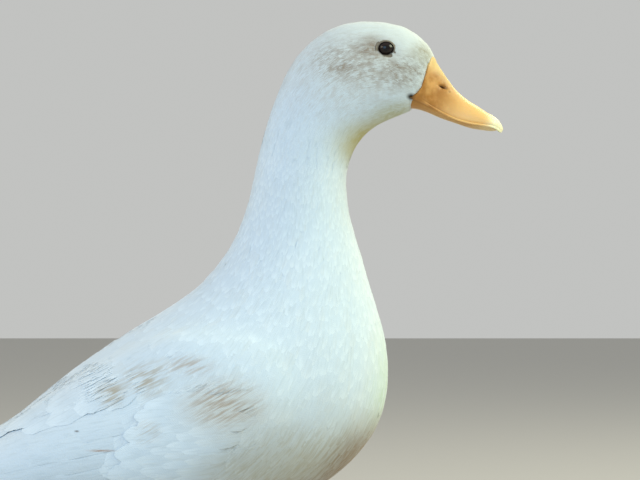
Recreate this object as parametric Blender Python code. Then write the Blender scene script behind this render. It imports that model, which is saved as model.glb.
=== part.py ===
"""A white farmyard duck standing still, at life size, as named solids.

Metres, +Z up, +X towards the bill, +Y to the duck's left. The origin is on the floor, under the
middle of the duck's length. Head, neck and trunk are one lofted form parted by thin gaps.
"""

import math
from collections import namedtuple

import bmesh
import bpy
from mathutils import Vector

# Driving dimensions, in metres.
OVERALL_LENGTH = 0.4536
GAP = 0.0003
RING_POINTS = 28
RINGS_PER_SECTION = 2

EYE_RADIUS = 0.0062
EYE_CENTRE = Vector((0.1544, 0.0116, 0.3729))

WING_THICKNESS = 0.0068
WING_EDGE_THICKNESS = 0.0016
WING_BED_GAP = 0.0008
WING_TIP_LIFT = 0.0030
WING_STEPS_ALONG = 18
WING_STEPS_ACROSS = 8

TAIL_REAR_HEIGHT = 0.1030
TAIL_POINTS = 20
TAIL_STEPS = 12
TAIL_ROOT_GAP = 0.0009
TAIL_SWELL = 0.42
TAIL_SWELL_RATE = 1.25
TAIL_ROUNDING_START = 0.42
TAIL_ROUNDING = 2.2
TAIL_TIP_WIDTH = 0.02
TAIL_TAPER = 1.3
TAIL_TIP_DEPTH = 0.0009
TAIL_DROOP = 0.0035

LEG_SPACING = 0.078
THIGH_GAP = 0.0005
THIGH_TOP = Vector((0.014, LEG_SPACING / 2 - 0.001, 0.112))
THIGH_TOP_RADIUS = 0.0280
THIGH_HOCK_RADIUS = 0.0072
THIGH_TAPER = 1.25
THIGH_STEPS = 8
THIGH_POINTS = 20
SHANK_RADIUS = 0.0040
SHANK_NARROWING = 0.84
SHANK_STEPS = 10
SHANK_POINTS = 12
# How far each knob of the shank stands out, and the share of the shank that it takes.
HOCK_KNOB = (0.0021, 0.16)
ANKLE_KNOB = (0.0014, 0.14)
HOCK = Vector((-0.006, LEG_SPACING / 2, 0.0605))
ANKLE = Vector((0.006, LEG_SPACING / 2 + 0.002, 0.0115))
TOE_SPREAD = math.radians(27)
TOE_OUT = math.radians(6)
TOE_JOINTS = 3
TOE_SHARES = (-1, -0.55, 0, 0.55, 1)
WEB_SHARES = (0.25, 0.5, 0.75)
WEB_SAG = 0.13
WEB_THICKNESS = 0.0014
FOOT_STEPS = 8
KNOB_RADIUS = 0.0056

# One cross-section of head, neck and trunk: the points of the outline on its back and on its
# front, its half width, how square it is (2 is an ellipse) and how much it narrows to the back.
Section = namedtuple("Section", "back front half_width square narrow")

SECTIONS = {
    "face": Section((0.1862, 0.3630), (0.1702, 0.3344), 0.0128, 2.2, 0.10),
    "brow": Section((0.1808, 0.3752), (0.1676, 0.3334), 0.0152, 2.2, 0.14),
    "eye": Section((0.1652, 0.3868), (0.1638, 0.3318), 0.0182, 2.3, 0.17),
    "crown": Section((0.1395, 0.3900), (0.1575, 0.3292), 0.0202, 2.3, 0.18),
    "hindcrown": Section((0.1178, 0.3842), (0.1503, 0.3258), 0.0214, 2.2, 0.16),
    "nape": Section((0.0993, 0.3684), (0.1424, 0.3200), 0.0222, 2.1, 0.10),
    "throat": Section((0.0882, 0.3475), (0.1358, 0.3112), 0.0227, 2.0, 0.06),
    "upper_neck": Section((0.0797, 0.3232), (0.1313, 0.3008), 0.0236, 2.0, 0.02),
    "mid_neck": Section((0.0733, 0.2962), (0.1301, 0.2868), 0.0250, 2.0, 0.00),
    "lower_neck": Section((0.0670, 0.2705), (0.1325, 0.2685), 0.0278, 2.0, 0.00),
    "neck_base": Section((0.0560, 0.2475), (0.1388, 0.2470), 0.0338, 2.0, 0.02),
    "collar": Section((0.0378, 0.2258), (0.1466, 0.2205), 0.0436, 2.0, 0.04),
    "crop": Section((0.0145, 0.2102), (0.1546, 0.1925), 0.0548, 2.0, 0.04),
    "breast": Section((-0.0070, 0.1976), (0.1562, 0.1635), 0.0640, 2.0, 0.02),
    "shoulder": Section((-0.0262, 0.1834), (0.1478, 0.1340), 0.0690, 2.1, 0.00),
    "keel": Section((-0.0435, 0.1702), (0.1215, 0.1062), 0.0712, 2.2, -0.02),
    "mid_body": Section((-0.0612, 0.1552), (0.0800, 0.0868), 0.0712, 2.2, -0.04),
    "belly": Section((-0.0812, 0.1388), (0.0320, 0.0812), 0.0684, 2.2, -0.05),
    "abdomen": Section((-0.1040, 0.1240), (-0.0200, 0.0788), 0.0615, 2.2, -0.06),
    "vent": Section((-0.1285, 0.1146), (-0.0730, 0.0796), 0.0510, 2.2, -0.06),
    "rump": Section((-0.1520, 0.1096), (-0.1215, 0.0856), 0.0402, 2.2, -0.04),
    "tail_root": Section((-0.1735, 0.1068), (-0.1605, 0.0936), 0.0320, 2.2, 0.00),
}
ORDER = list(SECTIONS)

# The folded wing, from the shoulder to the tip: the station on the trunk, and the angles round
# the section, from the spine, of its upper and lower edges.
WingEdge = namedtuple("WingEdge", "station upper lower")
WING_EDGES = (
    WingEdge(12.05, math.radians(56), math.radians(96)),
    WingEdge(13.2, math.radians(35), math.radians(110)),
    WingEdge(14.8, math.radians(25), math.radians(113)),
    WingEdge(16.4, math.radians(18), math.radians(108)),
    WingEdge(17.8, math.radians(13), math.radians(98)),
    WingEdge(19.1, math.radians(10), math.radians(82)),
    WingEdge(20.05, math.radians(14), math.radians(58)),
)

# One cross-section of a bill half: its point on the ridge side and on the edge side, and its
# half width.
BillSection = namedtuple("BillSection", "ridge edge half_width")
UPPER_BILL = (
    BillSection((0.1863, 0.3628), (0.1736, 0.3402), 0.0126),
    BillSection((0.1912, 0.3556), (0.1806, 0.3378), 0.0119),
    BillSection((0.1970, 0.3481), (0.1884, 0.3336), 0.0113),
    BillSection((0.2046, 0.3417), (0.1978, 0.3294), 0.0117),
    BillSection((0.2122, 0.3377), (0.2078, 0.3261), 0.0127),
    BillSection((0.2192, 0.3325), (0.2165, 0.3247), 0.0128),
    BillSection((0.2240, 0.3283), (0.2226, 0.3229), 0.0104),
    BillSection((0.2265, 0.3238), (0.2260, 0.3203), 0.0052),
)
LOWER_BILL = (
    BillSection((0.1733, 0.3397), (0.1714, 0.3362), 0.0104),
    BillSection((0.1804, 0.3372), (0.1795, 0.3342), 0.0098),
    BillSection((0.1882, 0.3330), (0.1872, 0.3310), 0.0094),
    BillSection((0.1976, 0.3288), (0.1966, 0.3266), 0.0098),
    BillSection((0.2075, 0.3255), (0.2067, 0.3231), 0.0106),
    BillSection((0.2158, 0.3241), (0.2153, 0.3217), 0.0094),
    BillSection((0.2212, 0.3222), (0.2207, 0.3202), 0.0056),
)
BILL_POINTS = 16
# The share of a bill half's depth that lies on its flat side, and how much its ridge narrows.
UPPER_FLAT = 0.24
LOWER_FLAT = 0.28
RIDGE_NARROWING = 0.30

# Each toe: its turn from straight ahead in toe spreads, its length and its half width.
Toe = namedtuple("Toe", "turn length half_width")
TOES = {
    "inner": Toe(-1.0, 0.046, 0.0030),
    "middle": Toe(0.0, 0.057, 0.0034),
    "outer": Toe(0.92, 0.053, 0.0031),
}
TOE_HEIGHT = 0.0062
TOE_TIP_HEIGHT = 0.0040
HIND_TOE_RADII = (0.0029, 0.0027, 0.0024, 0.0017)
CLAW_LENGTH = 0.0075

COLOURS = {
    "plumage": (0.86, 0.88, 0.87, 0.65, 0.0),
    "bill": (0.80, 0.42, 0.11, 0.38, 0.0),
    "eye": (0.02, 0.015, 0.012, 0.08, 0.0),
    "leg": (0.78, 0.33, 0.08, 0.5, 0.0),
    "claw": (0.45, 0.36, 0.26, 0.4, 0.0),
}


def clear_scene():
    for obj in list(bpy.data.objects):
        bpy.data.objects.remove(obj)


def material(name):
    """The Principled material of this name, made on its first use."""
    made = bpy.data.materials.get(name)
    if made is None:
        red, green, blue, roughness, metallic = COLOURS[name]
        made = bpy.data.materials.new(name)
        made.use_nodes = True
        shader = made.node_tree.nodes["Principled BSDF"]
        shader.inputs["Base Color"].default_value = (red, green, blue, 1.0)
        shader.inputs["Roughness"].default_value = roughness
        shader.inputs["Metallic"].default_value = metallic
    return made


def add_object(name, bm, finish):
    """Puts the bmesh in the scene as a smooth-shaded object with its faces pointing out."""
    bmesh.ops.recalc_face_normals(bm, faces=bm.faces)
    mesh = bpy.data.meshes.new(name)
    bm.to_mesh(mesh)
    bm.free()
    mesh.materials.append(material(finish))
    mesh.shade_smooth()
    mesh.set_sharp_from_angle(angle=math.radians(40))
    obj = bpy.data.objects.new(name, mesh)
    bpy.context.scene.collection.objects.link(obj)
    return obj


def loft(name, rings, finish):
    """A closed solid through rings of the same number of points, with a cap at each end."""
    bm = bmesh.new()
    loops = [[bm.verts.new(p) for p in ring] for ring in rings]
    count = len(loops[0])
    for first, second in zip(loops, loops[1:]):
        for i in range(count):
            j = (i + 1) % count
            bm.faces.new((first[i], first[j], second[j], second[i]))
    caps = [bm.faces.new(reversed(loops[0])), bm.faces.new(loops[-1])]
    bmesh.ops.poke(bm, faces=caps)
    return add_object(name, bm, finish)


def cut(obj, cutter, operation="DIFFERENCE"):
    """Cuts, meets or joins obj with the cutter, and leaves the cutter out of the model."""
    modifier = obj.modifiers.new(operation.title(), "BOOLEAN")
    modifier.operation = operation
    modifier.solver = "EXACT"
    modifier.object = cutter
    cutter.hide_render = True
    cutter.display_type = "WIRE"
    return obj


def through(values, place):
    """A smooth curve through the values, at a place counted in whole values."""
    last = len(values) - 1
    i = min(max(int(place), 0), last - 1)
    f = place - i
    before, a = values[max(i - 1, 0)], values[i]
    b, after = values[i + 1], values[min(i + 2, last)]
    slope_a, slope_b = (b - before) * 0.5, (after - a) * 0.5
    if i == 0:
        slope_a = b - a
    if i == last - 1:
        slope_b = b - a
    f2, f3 = f * f, f * f * f
    start, end = 2 * f3 - 3 * f2 + 1, 3 * f2 - 2 * f3
    return a * start + slope_a * (f3 - 2 * f2 + f) + b * end + slope_b * (f3 - f2)


def section_at(station):
    """The cross-section of the body form at a station counted in whole sections."""
    keys = [SECTIONS[name] for name in ORDER]

    def read(pick):
        return through([pick(key) for key in keys], station)

    return Section(
        Vector((read(lambda k: k.back[0]), 0.0, read(lambda k: k.back[1]))),
        Vector((read(lambda k: k.front[0]), 0.0, read(lambda k: k.front[1]))),
        read(lambda k: k.half_width),
        read(lambda k: k.square),
        read(lambda k: k.narrow),
    )


def body_point(station, angle, offset=0.0):
    """A point of the body form. The angle is 0 on the back, and grows towards the duck's left."""
    section = section_at(station)
    centre = (section.back + section.front) / 2
    half = (section.back - section.front) / 2
    depth = half.length + offset
    width = section.half_width + offset
    up, side = math.cos(angle), math.sin(angle)
    n = section.square
    reach = (abs(up) ** n + abs(side) ** n) ** (-1 / n)
    up, side = up * reach, side * reach
    taper = 1 - section.narrow * up
    return centre + half.normalized() * (depth * up) + Vector((0, width * side * taper, 0))


def body_normal(station, angle):
    """The outward direction of the body form at this place."""
    step = 0.02
    along = body_point(station + step, angle) - body_point(station - step, angle)
    round_it = body_point(station, angle + step) - body_point(station, angle - step)
    normal = along.cross(round_it).normalized()
    centre = section_at(station)
    outwards = body_point(station, angle) - (centre.back + centre.front) / 2
    return normal if normal.dot(outwards) > 0 else -normal


def body_ring(station, offset=0.0):
    turns = (2 * math.pi * i / RING_POINTS for i in range(RING_POINTS))
    return [body_point(station, turn, offset) for turn in turns]


def body_rings(first, last, offset=0.0):
    """The rings from one station to another, with the ends where they are asked for."""
    inner = range(
        math.floor(first * RINGS_PER_SECTION) + 1, math.ceil(last * RINGS_PER_SECTION)
    )
    stations = [first, *(i / RINGS_PER_SECTION for i in inner), last]
    return [body_ring(station, offset) for station in stations]


def parted(station, side):
    """The station half a gap to one side of this one, measured along the middle of the form."""
    near, far = section_at(station - 0.05), section_at(station + 0.05)
    run = ((far.back + far.front) - (near.back + near.front)).length / 2 / 0.1
    return station + side * GAP / run


def build_head():
    """The feathered head, from the bill's edge to below the cheeks, with a socket for each eye."""
    end = ORDER.index("throat")
    head = loft("head", body_rings(0.0, parted(end, -1)), "plumage")
    for side in (1, -1):
        cutter = eyeball("socket", side, EYE_RADIUS + GAP)
        cut(head, cutter)
    return head


def eyeball(name, side, radius):
    bm = bmesh.new()
    bmesh.ops.create_uvsphere(bm, u_segments=14, v_segments=8, radius=radius)
    centre = Vector((EYE_CENTRE.x, side * EYE_CENTRE.y, EYE_CENTRE.z))
    bmesh.ops.rotate(bm, verts=bm.verts, matrix=Vector((0, 0, 1)).rotation_difference(
        Vector((0, side, 0))).to_matrix())
    bmesh.ops.translate(bm, verts=bm.verts, vec=centre)
    return add_object(name, bm, "eye")


def build_neck_and_trunk():
    top, bottom = ORDER.index("throat"), ORDER.index("neck_base")
    loft("neck", body_rings(parted(top, 1), parted(bottom, -1)), "plumage")
    last = ORDER.index("tail_root")
    loft("trunk", body_rings(parted(bottom, 1), last), "plumage")


def wing_surface(u, v, height):
    """A point over the trunk: u runs from shoulder to wing tip, v from upper to lower edge."""
    place = u * (len(WING_EDGES) - 1)
    station = through([edge.station for edge in WING_EDGES], place)
    upper = through([edge.upper for edge in WING_EDGES], place)
    lower = through([edge.lower for edge in WING_EDGES], place)
    angle = upper + (lower - upper) * v
    return body_point(station, angle) + body_normal(station, angle) * height


def wing_thickness(u, v):
    """Full in the middle of the wing, thin along its edges and at its tip."""
    across = math.sin(math.pi * min(max(v, 0.0), 1.0)) ** 0.6
    along = min(1.0, u / 0.12) ** 0.5 * min(1.0, (1 - u) / 0.55 + 0.22)
    rise = (WING_THICKNESS - WING_EDGE_THICKNESS) * across * along
    return WING_EDGE_THICKNESS + rise


def build_wing(name, side):
    """A folded wing: an outer and an inner sheet over the trunk, joined round their edges."""
    bm = bmesh.new()
    sheets = []
    for outer in (True, False):
        rows = []
        for i in range(WING_STEPS_ALONG + 1):
            u = i / WING_STEPS_ALONG
            lift = WING_BED_GAP + WING_TIP_LIFT * max(0.0, (u - 0.7) / 0.3) ** 2
            row = []
            for j in range(WING_STEPS_ACROSS + 1):
                v = j / WING_STEPS_ACROSS
                height = lift + (wing_thickness(u, v) if outer else 0.0)
                point = wing_surface(u, v, height)
                row.append(bm.verts.new((point.x, side * point.y, point.z)))
            rows.append(row)
        sheets.append(rows)
    for rows in sheets:
        for a, b in zip(rows, rows[1:]):
            for i in range(WING_STEPS_ACROSS):
                bm.faces.new((a[i], a[i + 1], b[i + 1], b[i]))
    rims = []
    for rows in sheets:
        rim = rows[0] + [row[-1] for row in rows[1:-1]]
        rim += rows[-1][::-1] + [row[0] for row in rows[-2:0:-1]]
        rims.append(rim)
    count = len(rims[0])
    for i in range(count):
        j = (i + 1) % count
        bm.faces.new((rims[0][i], rims[0][j], rims[1][j], rims[1][i]))
    return add_object(name, bm, "plumage")


def build_tail():
    """The folded tail feathers as one tapering fan behind the trunk."""
    root = section_at(ORDER.index("tail_root"))
    start = (root.back + root.front) / 2 + Vector((-TAIL_ROOT_GAP, 0, 0))
    end = Vector((-OVERALL_LENGTH / 2, 0, TAIL_REAR_HEIGHT))
    tilt = (root.back - root.front).normalized()
    root_depth = (root.back - root.front).length / 2
    upright = Vector((0, 0, 1))
    rings = []
    for i in range(TAIL_STEPS + 1):
        f = i / TAIL_STEPS
        centre = start + (end - start) * f
        swell = 1 + TAIL_SWELL * math.sin(math.pi / 2 * min(1.0, f * TAIL_SWELL_RATE))
        rounding = max(0.0, (f - TAIL_ROUNDING_START) / (1 - TAIL_ROUNDING_START)) ** TAIL_ROUNDING
        width = root.half_width * swell * math.sqrt(max(TAIL_TIP_WIDTH, 1 - rounding))
        depth = root_depth * (1 - f) ** TAIL_TAPER + TAIL_TIP_DEPTH
        up_axis = (tilt * (1 - f) + upright * f).normalized()
        ring = []
        for k in range(TAIL_POINTS):
            a = 2 * math.pi * k / TAIL_POINTS
            rise = depth * math.cos(a) - TAIL_DROOP * f * math.sin(a) ** 2
            ring.append(centre + up_axis * rise + Vector((0, width * math.sin(a), 0)))
        rings.append(ring)
    return loft("tail", rings, "plumage")


def bill_rings(sections, flat_edge):
    """Rings of a bill half: a low dome on the ridge side, nearly flat on the edge side."""

    def read(place, pick):
        return through([pick(section) for section in sections], place)

    rings = []
    steps = (len(sections) - 1) * RINGS_PER_SECTION
    for i in range(steps + 1):
        place = i / RINGS_PER_SECTION
        ridge = Vector((read(place, lambda s: s.ridge[0]), 0, read(place, lambda s: s.ridge[1])))
        edge = Vector((read(place, lambda s: s.edge[0]), 0, read(place, lambda s: s.edge[1])))
        width = read(place, lambda s: s.half_width)
        ring = []
        for k in range(BILL_POINTS):
            a = 2 * math.pi * k / BILL_POINTS
            up, side = math.cos(a), math.sin(a)
            flat = UPPER_FLAT if flat_edge else 1 - LOWER_FLAT
            rise = flat + (1 - flat) * up if up > 0 else flat + flat * up
            spread = side * (1 - RIDGE_NARROWING * max(up, 0.0)) if flat_edge else side
            ring.append(edge + (ridge - edge) * rise + Vector((0, width * spread, 0)))
        rings.append(ring)
    return rings


def build_bill():
    """The upper bill with its nail, and the lower bill under it."""
    forward = Vector((GAP, 0, 0))
    for name, sections, flat in (
        ("bill_upper", UPPER_BILL, True), ("bill_lower", LOWER_BILL, False),
    ):
        rings = bill_rings(sections, flat)
        loft(name, [[p + forward for p in ring] for ring in rings], "bill")


def tube_rings(points, radii, count, squash=1.0, level=False):
    """Rings round a line of points, each with its own radius, flattened across Y by squash.

    Level rings lie flat whatever way the line leans, so that two of them can meet.
    """
    rings = []
    for i, (point, radius) in enumerate(zip(points, radii)):
        run = points[min(i + 1, len(points) - 1)] - points[max(i - 1, 0)]
        if level:
            run = Vector((0, 0, run.z))
        out = Vector((0, 1, 0)) - run * (run.y / run.length_squared)
        out.normalize()
        up = run.cross(out).normalized()
        ring = []
        for k in range(count):
            a = 2 * math.pi * k / count
            ring.append(point + out * (radius * squash * math.cos(a)) + up * (radius * math.sin(a)))
        rings.append(ring)
    return rings


def sided(point, side):
    return Vector((point.x, side * point.y, point.z))


def build_thigh(name, side, trunk_form):
    """The feathered drumstick, from the flank down to the hock."""
    low = HOCK + Vector((0, 0, GAP))
    shares = [i / THIGH_STEPS for i in range(THIGH_STEPS + 1)]
    points = [sided(THIGH_TOP + (low - THIGH_TOP) * f, side) for f in shares]
    swell = THIGH_TOP_RADIUS - THIGH_HOCK_RADIUS
    radii = [THIGH_HOCK_RADIUS + swell * (1 - f) ** THIGH_TAPER for f in shares]
    thigh = loft(name, tube_rings(points, radii, THIGH_POINTS, level=True), "plumage")
    return cut(thigh, trunk_form)


def knob(knob_size, away):
    """How much a knob adds to the shank's radius, at a share of the shank away from it."""
    height, reach = knob_size
    return height * math.exp(-(away / reach) ** 2)


def build_shank(name, side):
    """The bare shank, with the knob of the hock above and of the ankle below."""
    shares = [i / SHANK_STEPS for i in range(SHANK_STEPS + 1)]
    points = [sided(HOCK + (ANKLE - HOCK) * f, side) for f in shares]
    radii = [SHANK_RADIUS + knob(HOCK_KNOB, f) + knob(ANKLE_KNOB, 1 - f) for f in shares]
    rings = tube_rings(points, radii, SHANK_POINTS, squash=SHANK_NARROWING, level=True)
    return loft(name, rings, "leg")


def toe_angle(toe):
    return TOE_OUT + toe.turn * TOE_SPREAD


def toe_line(toe, side):
    """The direction of a toe on the floor. Positive turns point away from the duck's middle."""
    angle = toe_angle(toe)
    return Vector((math.cos(angle), side * math.sin(angle), 0))


def foot_origin(side):
    return Vector((ANKLE.x + 0.001, side * ANKLE.y, 0))


def toe_height(f):
    """The height of a toe along its length, with a low swelling at each joint."""
    swell = 1 + 0.10 * math.cos(2 * math.pi * TOE_JOINTS * f) * (1 - f)
    return (TOE_HEIGHT + (TOE_TIP_HEIGHT - TOE_HEIGHT) * f) * swell


def foot_lines():
    """The lines of the foot from its heel outwards, inner side first.

    Each line is a function of its fraction: it gives the angle, the reach and the height there.
    """
    lines = []
    half_spread = TOE_SPREAD / 2
    previous = None
    for toe in TOES.values():
        if previous is not None:
            for share in WEB_SHARES:
                lines.append(web_line(previous, toe, share))
        for place in TOE_SHARES:
            lines.append(ridge_line(toe, place, half_spread))
        previous = toe
    return lines


def ridge_line(toe, place, half_spread):
    """A line along a toe, at a place across it from -1 to 1."""
    reach = toe.length * (1 - 0.07 * place * place)

    def line(f):
        away = toe.half_width * (1.08 - 0.30 * f) / max(reach * f, toe.half_width * 0.5)
        turn = place * min(away, half_spread * 0.85)
        rise = math.sqrt(1 - place * place)
        height = WEB_THICKNESS + (toe_height(f) - WEB_THICKNESS) * rise
        return toe_angle(toe) + turn, reach * f, height

    return line


def web_line(first, second, share):
    """A line along the web, whose edge hangs back between two toes."""
    reach = first.length + (second.length - first.length) * share
    reach *= 0.93 - WEB_SAG * math.sin(math.pi * share)
    start, end = toe_angle(first), toe_angle(second)
    middle = (start + end) / 2

    def line(f):
        spread = (end - start) * (share - 0.5) * (0.15 + 0.85 * f)
        return middle + spread, reach * f, WEB_THICKNESS

    return line


def build_foot(name, side):
    """Three webbed toes on one flat sole, with the knob under the shank and the hind toe."""
    start = foot_origin(side)
    bm = bmesh.new()
    heel = bm.verts.new(start + Vector((0, 0, TOE_HEIGHT)))
    rows = []
    for line in foot_lines():
        row = [heel]
        for i in range(1, FOOT_STEPS + 1):
            angle, reach, height = line(i / FOOT_STEPS)
            across = side * math.sin(angle) * reach
            row.append(bm.verts.new(start + Vector((math.cos(angle) * reach, across, height))))
        rows.append(row)
    for first, second in zip(rows, rows[1:]):
        bm.faces.new((heel, first[1], second[1]))
        for i in range(1, FOOT_STEPS):
            bm.faces.new((first[i], first[i + 1], second[i + 1], second[i]))
    edge = rows[0][:-1] + [row[-1] for row in rows] + rows[-1][-2:0:-1]
    sole = [bm.verts.new((vert.co.x, vert.co.y, 0)) for vert in edge]
    for i in range(len(edge)):
        bm.faces.new((edge[i], edge[i - 1], sole[i - 1], sole[i]))
    bm.faces.new(sole)
    foot = add_object(name, bm, "leg")
    bm = bmesh.new()
    bmesh.ops.create_uvsphere(bm, u_segments=12, v_segments=6, radius=KNOB_RADIUS)
    bmesh.ops.translate(bm, verts=bm.verts, vec=start + Vector((0, 0, KNOB_RADIUS + GAP)))
    cut(foot, add_object(name + "_knob", bm, "leg"), "UNION")
    rings = tube_rings(hind_toe_points(side), HIND_TOE_RADII, 8)
    cut(foot, loft(name + "_hind", rings, "leg"), "UNION")
    return foot


def hind_toe_points(side):
    start = foot_origin(side) + Vector((-0.001, 0, 0.0085))
    back = Vector((-0.0135, -side * 0.0040, -0.0050))
    return [start + back * f for f in (0.0, 0.4, 0.75, 1.0)]


def claw_rings(base, direction, width, length):
    """Rings of a claw that narrows and bends down to its blunt point."""
    across = Vector((-direction.y, direction.x, 0))
    rings = []
    for f in (0.0, 0.35, 0.7, 1.0):
        shrink = 1 - 0.82 * f
        drop = -0.0009 * f * f
        ring = []
        for k in range(6):
            a = 2 * math.pi * k / 6
            point = base + direction * (length * f) + across * (width * shrink * math.cos(a))
            rise = width * 0.85 * shrink * math.sin(a) + drop
            ring.append(point + Vector((0, 0, rise)))
        rings.append(ring)
    return rings


def build_claws(side_name, side):
    start = foot_origin(side)
    for key, toe in TOES.items():
        direction = toe_line(toe, side)
        base = start + direction * (toe.length + GAP) + Vector((0, 0, 0.0021))
        rings = claw_rings(base, direction, toe.half_width * 0.46, CLAW_LENGTH)
        loft(f"claw_{side_name}_{key}", rings, "claw")
    hind = hind_toe_points(side)
    direction = (hind[-1] - hind[-2]).normalized()
    base = hind[-1] + direction * GAP
    loft(f"claw_{side_name}_hind", claw_rings(base, direction, 0.0013, 0.0045), "claw")


def main():
    clear_scene()
    build_head()
    build_neck_and_trunk()
    rings = body_rings(ORDER.index("neck_base"), ORDER.index("tail_root"), THIGH_GAP)
    form = loft("trunk_form", rings, "plumage")
    for side_name, side in (("left", 1), ("right", -1)):
        eyeball(f"eye_{side_name}", side, EYE_RADIUS)
        build_wing(f"wing_{side_name}", side)
        build_thigh(f"thigh_{side_name}", side, form)
        build_shank(f"shank_{side_name}", side)
        build_foot(f"foot_{side_name}", side)
        build_claws(side_name, side)
    build_bill()
    build_tail()


main()
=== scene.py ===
"""A white farmyard duck at life size: its skin, feathers, bill, eyes and legs, in a plain studio.

Metres, +Z up, the duck facing +X with its right side towards -Y. One skin stands for all the
feathered solids and lies inside them by the depth of the coat. Feathers are solid vanes that walk
over that skin along the lie of the coat, so each one bends with the body under it.
"""

from __future__ import annotations

import logging
import math
from collections.abc import Callable, Iterator
from contextlib import contextmanager
from dataclasses import dataclass, field
from enum import Enum

import bpy
import numpy as np
from bpy.types import Material, Mesh, Node, NodeSocket, Object
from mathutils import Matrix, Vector, noise
from mathutils.bvhtree import BVHTree
from mathutils.kdtree import KDTree


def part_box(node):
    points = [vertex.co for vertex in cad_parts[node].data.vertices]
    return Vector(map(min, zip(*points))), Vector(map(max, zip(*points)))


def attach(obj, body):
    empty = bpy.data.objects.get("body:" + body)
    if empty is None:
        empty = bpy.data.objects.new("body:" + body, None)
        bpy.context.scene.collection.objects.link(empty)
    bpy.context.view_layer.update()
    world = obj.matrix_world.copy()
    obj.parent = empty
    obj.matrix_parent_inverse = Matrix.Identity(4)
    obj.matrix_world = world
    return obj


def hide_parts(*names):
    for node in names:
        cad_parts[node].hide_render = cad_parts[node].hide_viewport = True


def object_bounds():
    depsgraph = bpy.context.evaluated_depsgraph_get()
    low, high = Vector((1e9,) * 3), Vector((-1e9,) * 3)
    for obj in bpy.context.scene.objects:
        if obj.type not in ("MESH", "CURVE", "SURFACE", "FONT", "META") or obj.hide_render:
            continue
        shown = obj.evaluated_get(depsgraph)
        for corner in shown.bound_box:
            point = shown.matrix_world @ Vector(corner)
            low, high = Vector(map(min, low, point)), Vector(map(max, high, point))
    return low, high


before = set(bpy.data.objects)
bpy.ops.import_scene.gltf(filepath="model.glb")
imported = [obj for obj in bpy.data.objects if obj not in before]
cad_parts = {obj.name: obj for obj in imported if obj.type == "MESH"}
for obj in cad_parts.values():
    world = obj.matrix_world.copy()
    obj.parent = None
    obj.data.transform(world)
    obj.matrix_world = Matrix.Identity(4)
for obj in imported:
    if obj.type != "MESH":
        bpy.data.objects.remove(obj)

CAD_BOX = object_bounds()
LOG = logging.getLogger("duck")
MM = 0.001
BODY = "root"
FLESH = ("head", "neck", "trunk", "wing_left", "wing_right", "thigh_left", "thigh_right")
SIDES = {"right": -1, "left": 1}
TOES = ("inner", "middle", "outer", "hind")
# Vertices nearer to one another than this are the same.
MERGE = 0.001 * MM
Array = np.ndarray


def srgb(code: str) -> tuple[float, float, float, float]:
    """Turns a hex colour into the linear colour that a socket takes.

    Args:
        code: The sRGB colour, such as "#E8EEF0".

    Returns:
        Linear red, green, blue and an alpha of 1.
    """
    parts = [int(code[i:i + 2], 16) / 255 for i in (1, 3, 5)]
    linear = [p / 12.92 if p <= 0.04045 else ((p + 0.055) / 1.055) ** 2.4 for p in parts]
    return (*linear, 1.0)


# A range whose ends are eased, for nodes that map one range to another.
SMOOTH = {"interpolation_type": "SMOOTHSTEP"}


class Recipe:
    """A material in the making: its nodes, and the principled shader that they end in."""

    def __init__(self, name: str) -> None:
        """Starts a material of that name."""
        self.material = bpy.data.materials.new(name)
        self.material.use_nodes = True
        self.tree = self.material.node_tree

    def add(self, kind: str, inputs: dict | tuple = (), **settings: object) -> Node:
        """Adds a node with its settings, values and links.

        Args:
            kind: The node's type name, after "ShaderNode".
            inputs: What its sockets get, by name, or as a row for its first ones: a value, or
                the node or output that feeds it.
            **settings: The node's own properties.

        Returns:
            The node.
        """
        made = self.tree.nodes.new("ShaderNode" + kind)
        for name, value in settings.items():
            setattr(made, name, value)
        self.feed(made, inputs)
        return made

    def feed(self, node: Node, inputs: dict | tuple) -> None:
        """Sets or links a node's sockets.

        Args:
            node: The node.
            inputs: As for add. A node given as a value feeds its first output.
        """
        for key, value in inputs.items() if isinstance(inputs, dict) else enumerate(inputs):
            if isinstance(value, Node):
                value = next(output for output in value.outputs if output.enabled)
            if isinstance(value, NodeSocket):
                self.tree.links.new(value, node.inputs[key])
            else:
                node.inputs[key].default_value = value

    def done(self, inputs: dict) -> Material:
        """Feeds the principled shader and gives the finished material."""
        self.feed(self.tree.nodes["Principled BSDF"], inputs)
        return self.material


def select_only(*objects: Object) -> None:
    """Leaves object mode on just these objects, the first one active."""
    bpy.ops.object.select_all(action="DESELECT")
    for obj in objects:
        obj.select_set(True)
    bpy.context.view_layer.objects.active = objects[0]


@contextmanager
def editing(piece: Object) -> Iterator[None]:
    """Edit mode with all of one piece selected, and object mode again afterwards."""
    select_only(piece)
    bpy.ops.object.mode_set(mode="EDIT")
    bpy.ops.mesh.select_all(action="SELECT")
    yield
    bpy.ops.object.mode_set(mode="OBJECT")


def numbers(items: bpy.types.bpy_prop_collection, name: str, width: int = 3) -> Array:
    """One property of all items, as rows of numbers."""
    flat = np.empty(len(items) * width, np.float32)
    items.foreach_get(name, flat)
    return flat.reshape(-1, width).astype(float)


def place_vertices(mesh: Mesh, co: Array) -> None:
    """Moves a mesh's vertices to new places."""
    mesh.vertices.foreach_set("co", co.astype(np.float32).ravel())
    mesh.update()


def mark(mesh: Mesh, name: str, values: Array) -> None:
    """Stores a number, or a vector, for each vertex, for a material to read."""
    kind, key = ("FLOAT", "value") if values.ndim == 1 else ("FLOAT_VECTOR", "vector")
    layer = mesh.attributes.new(name, kind, "POINT")
    layer.data.foreach_set(key, values.astype(np.float32).ravel())


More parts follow.
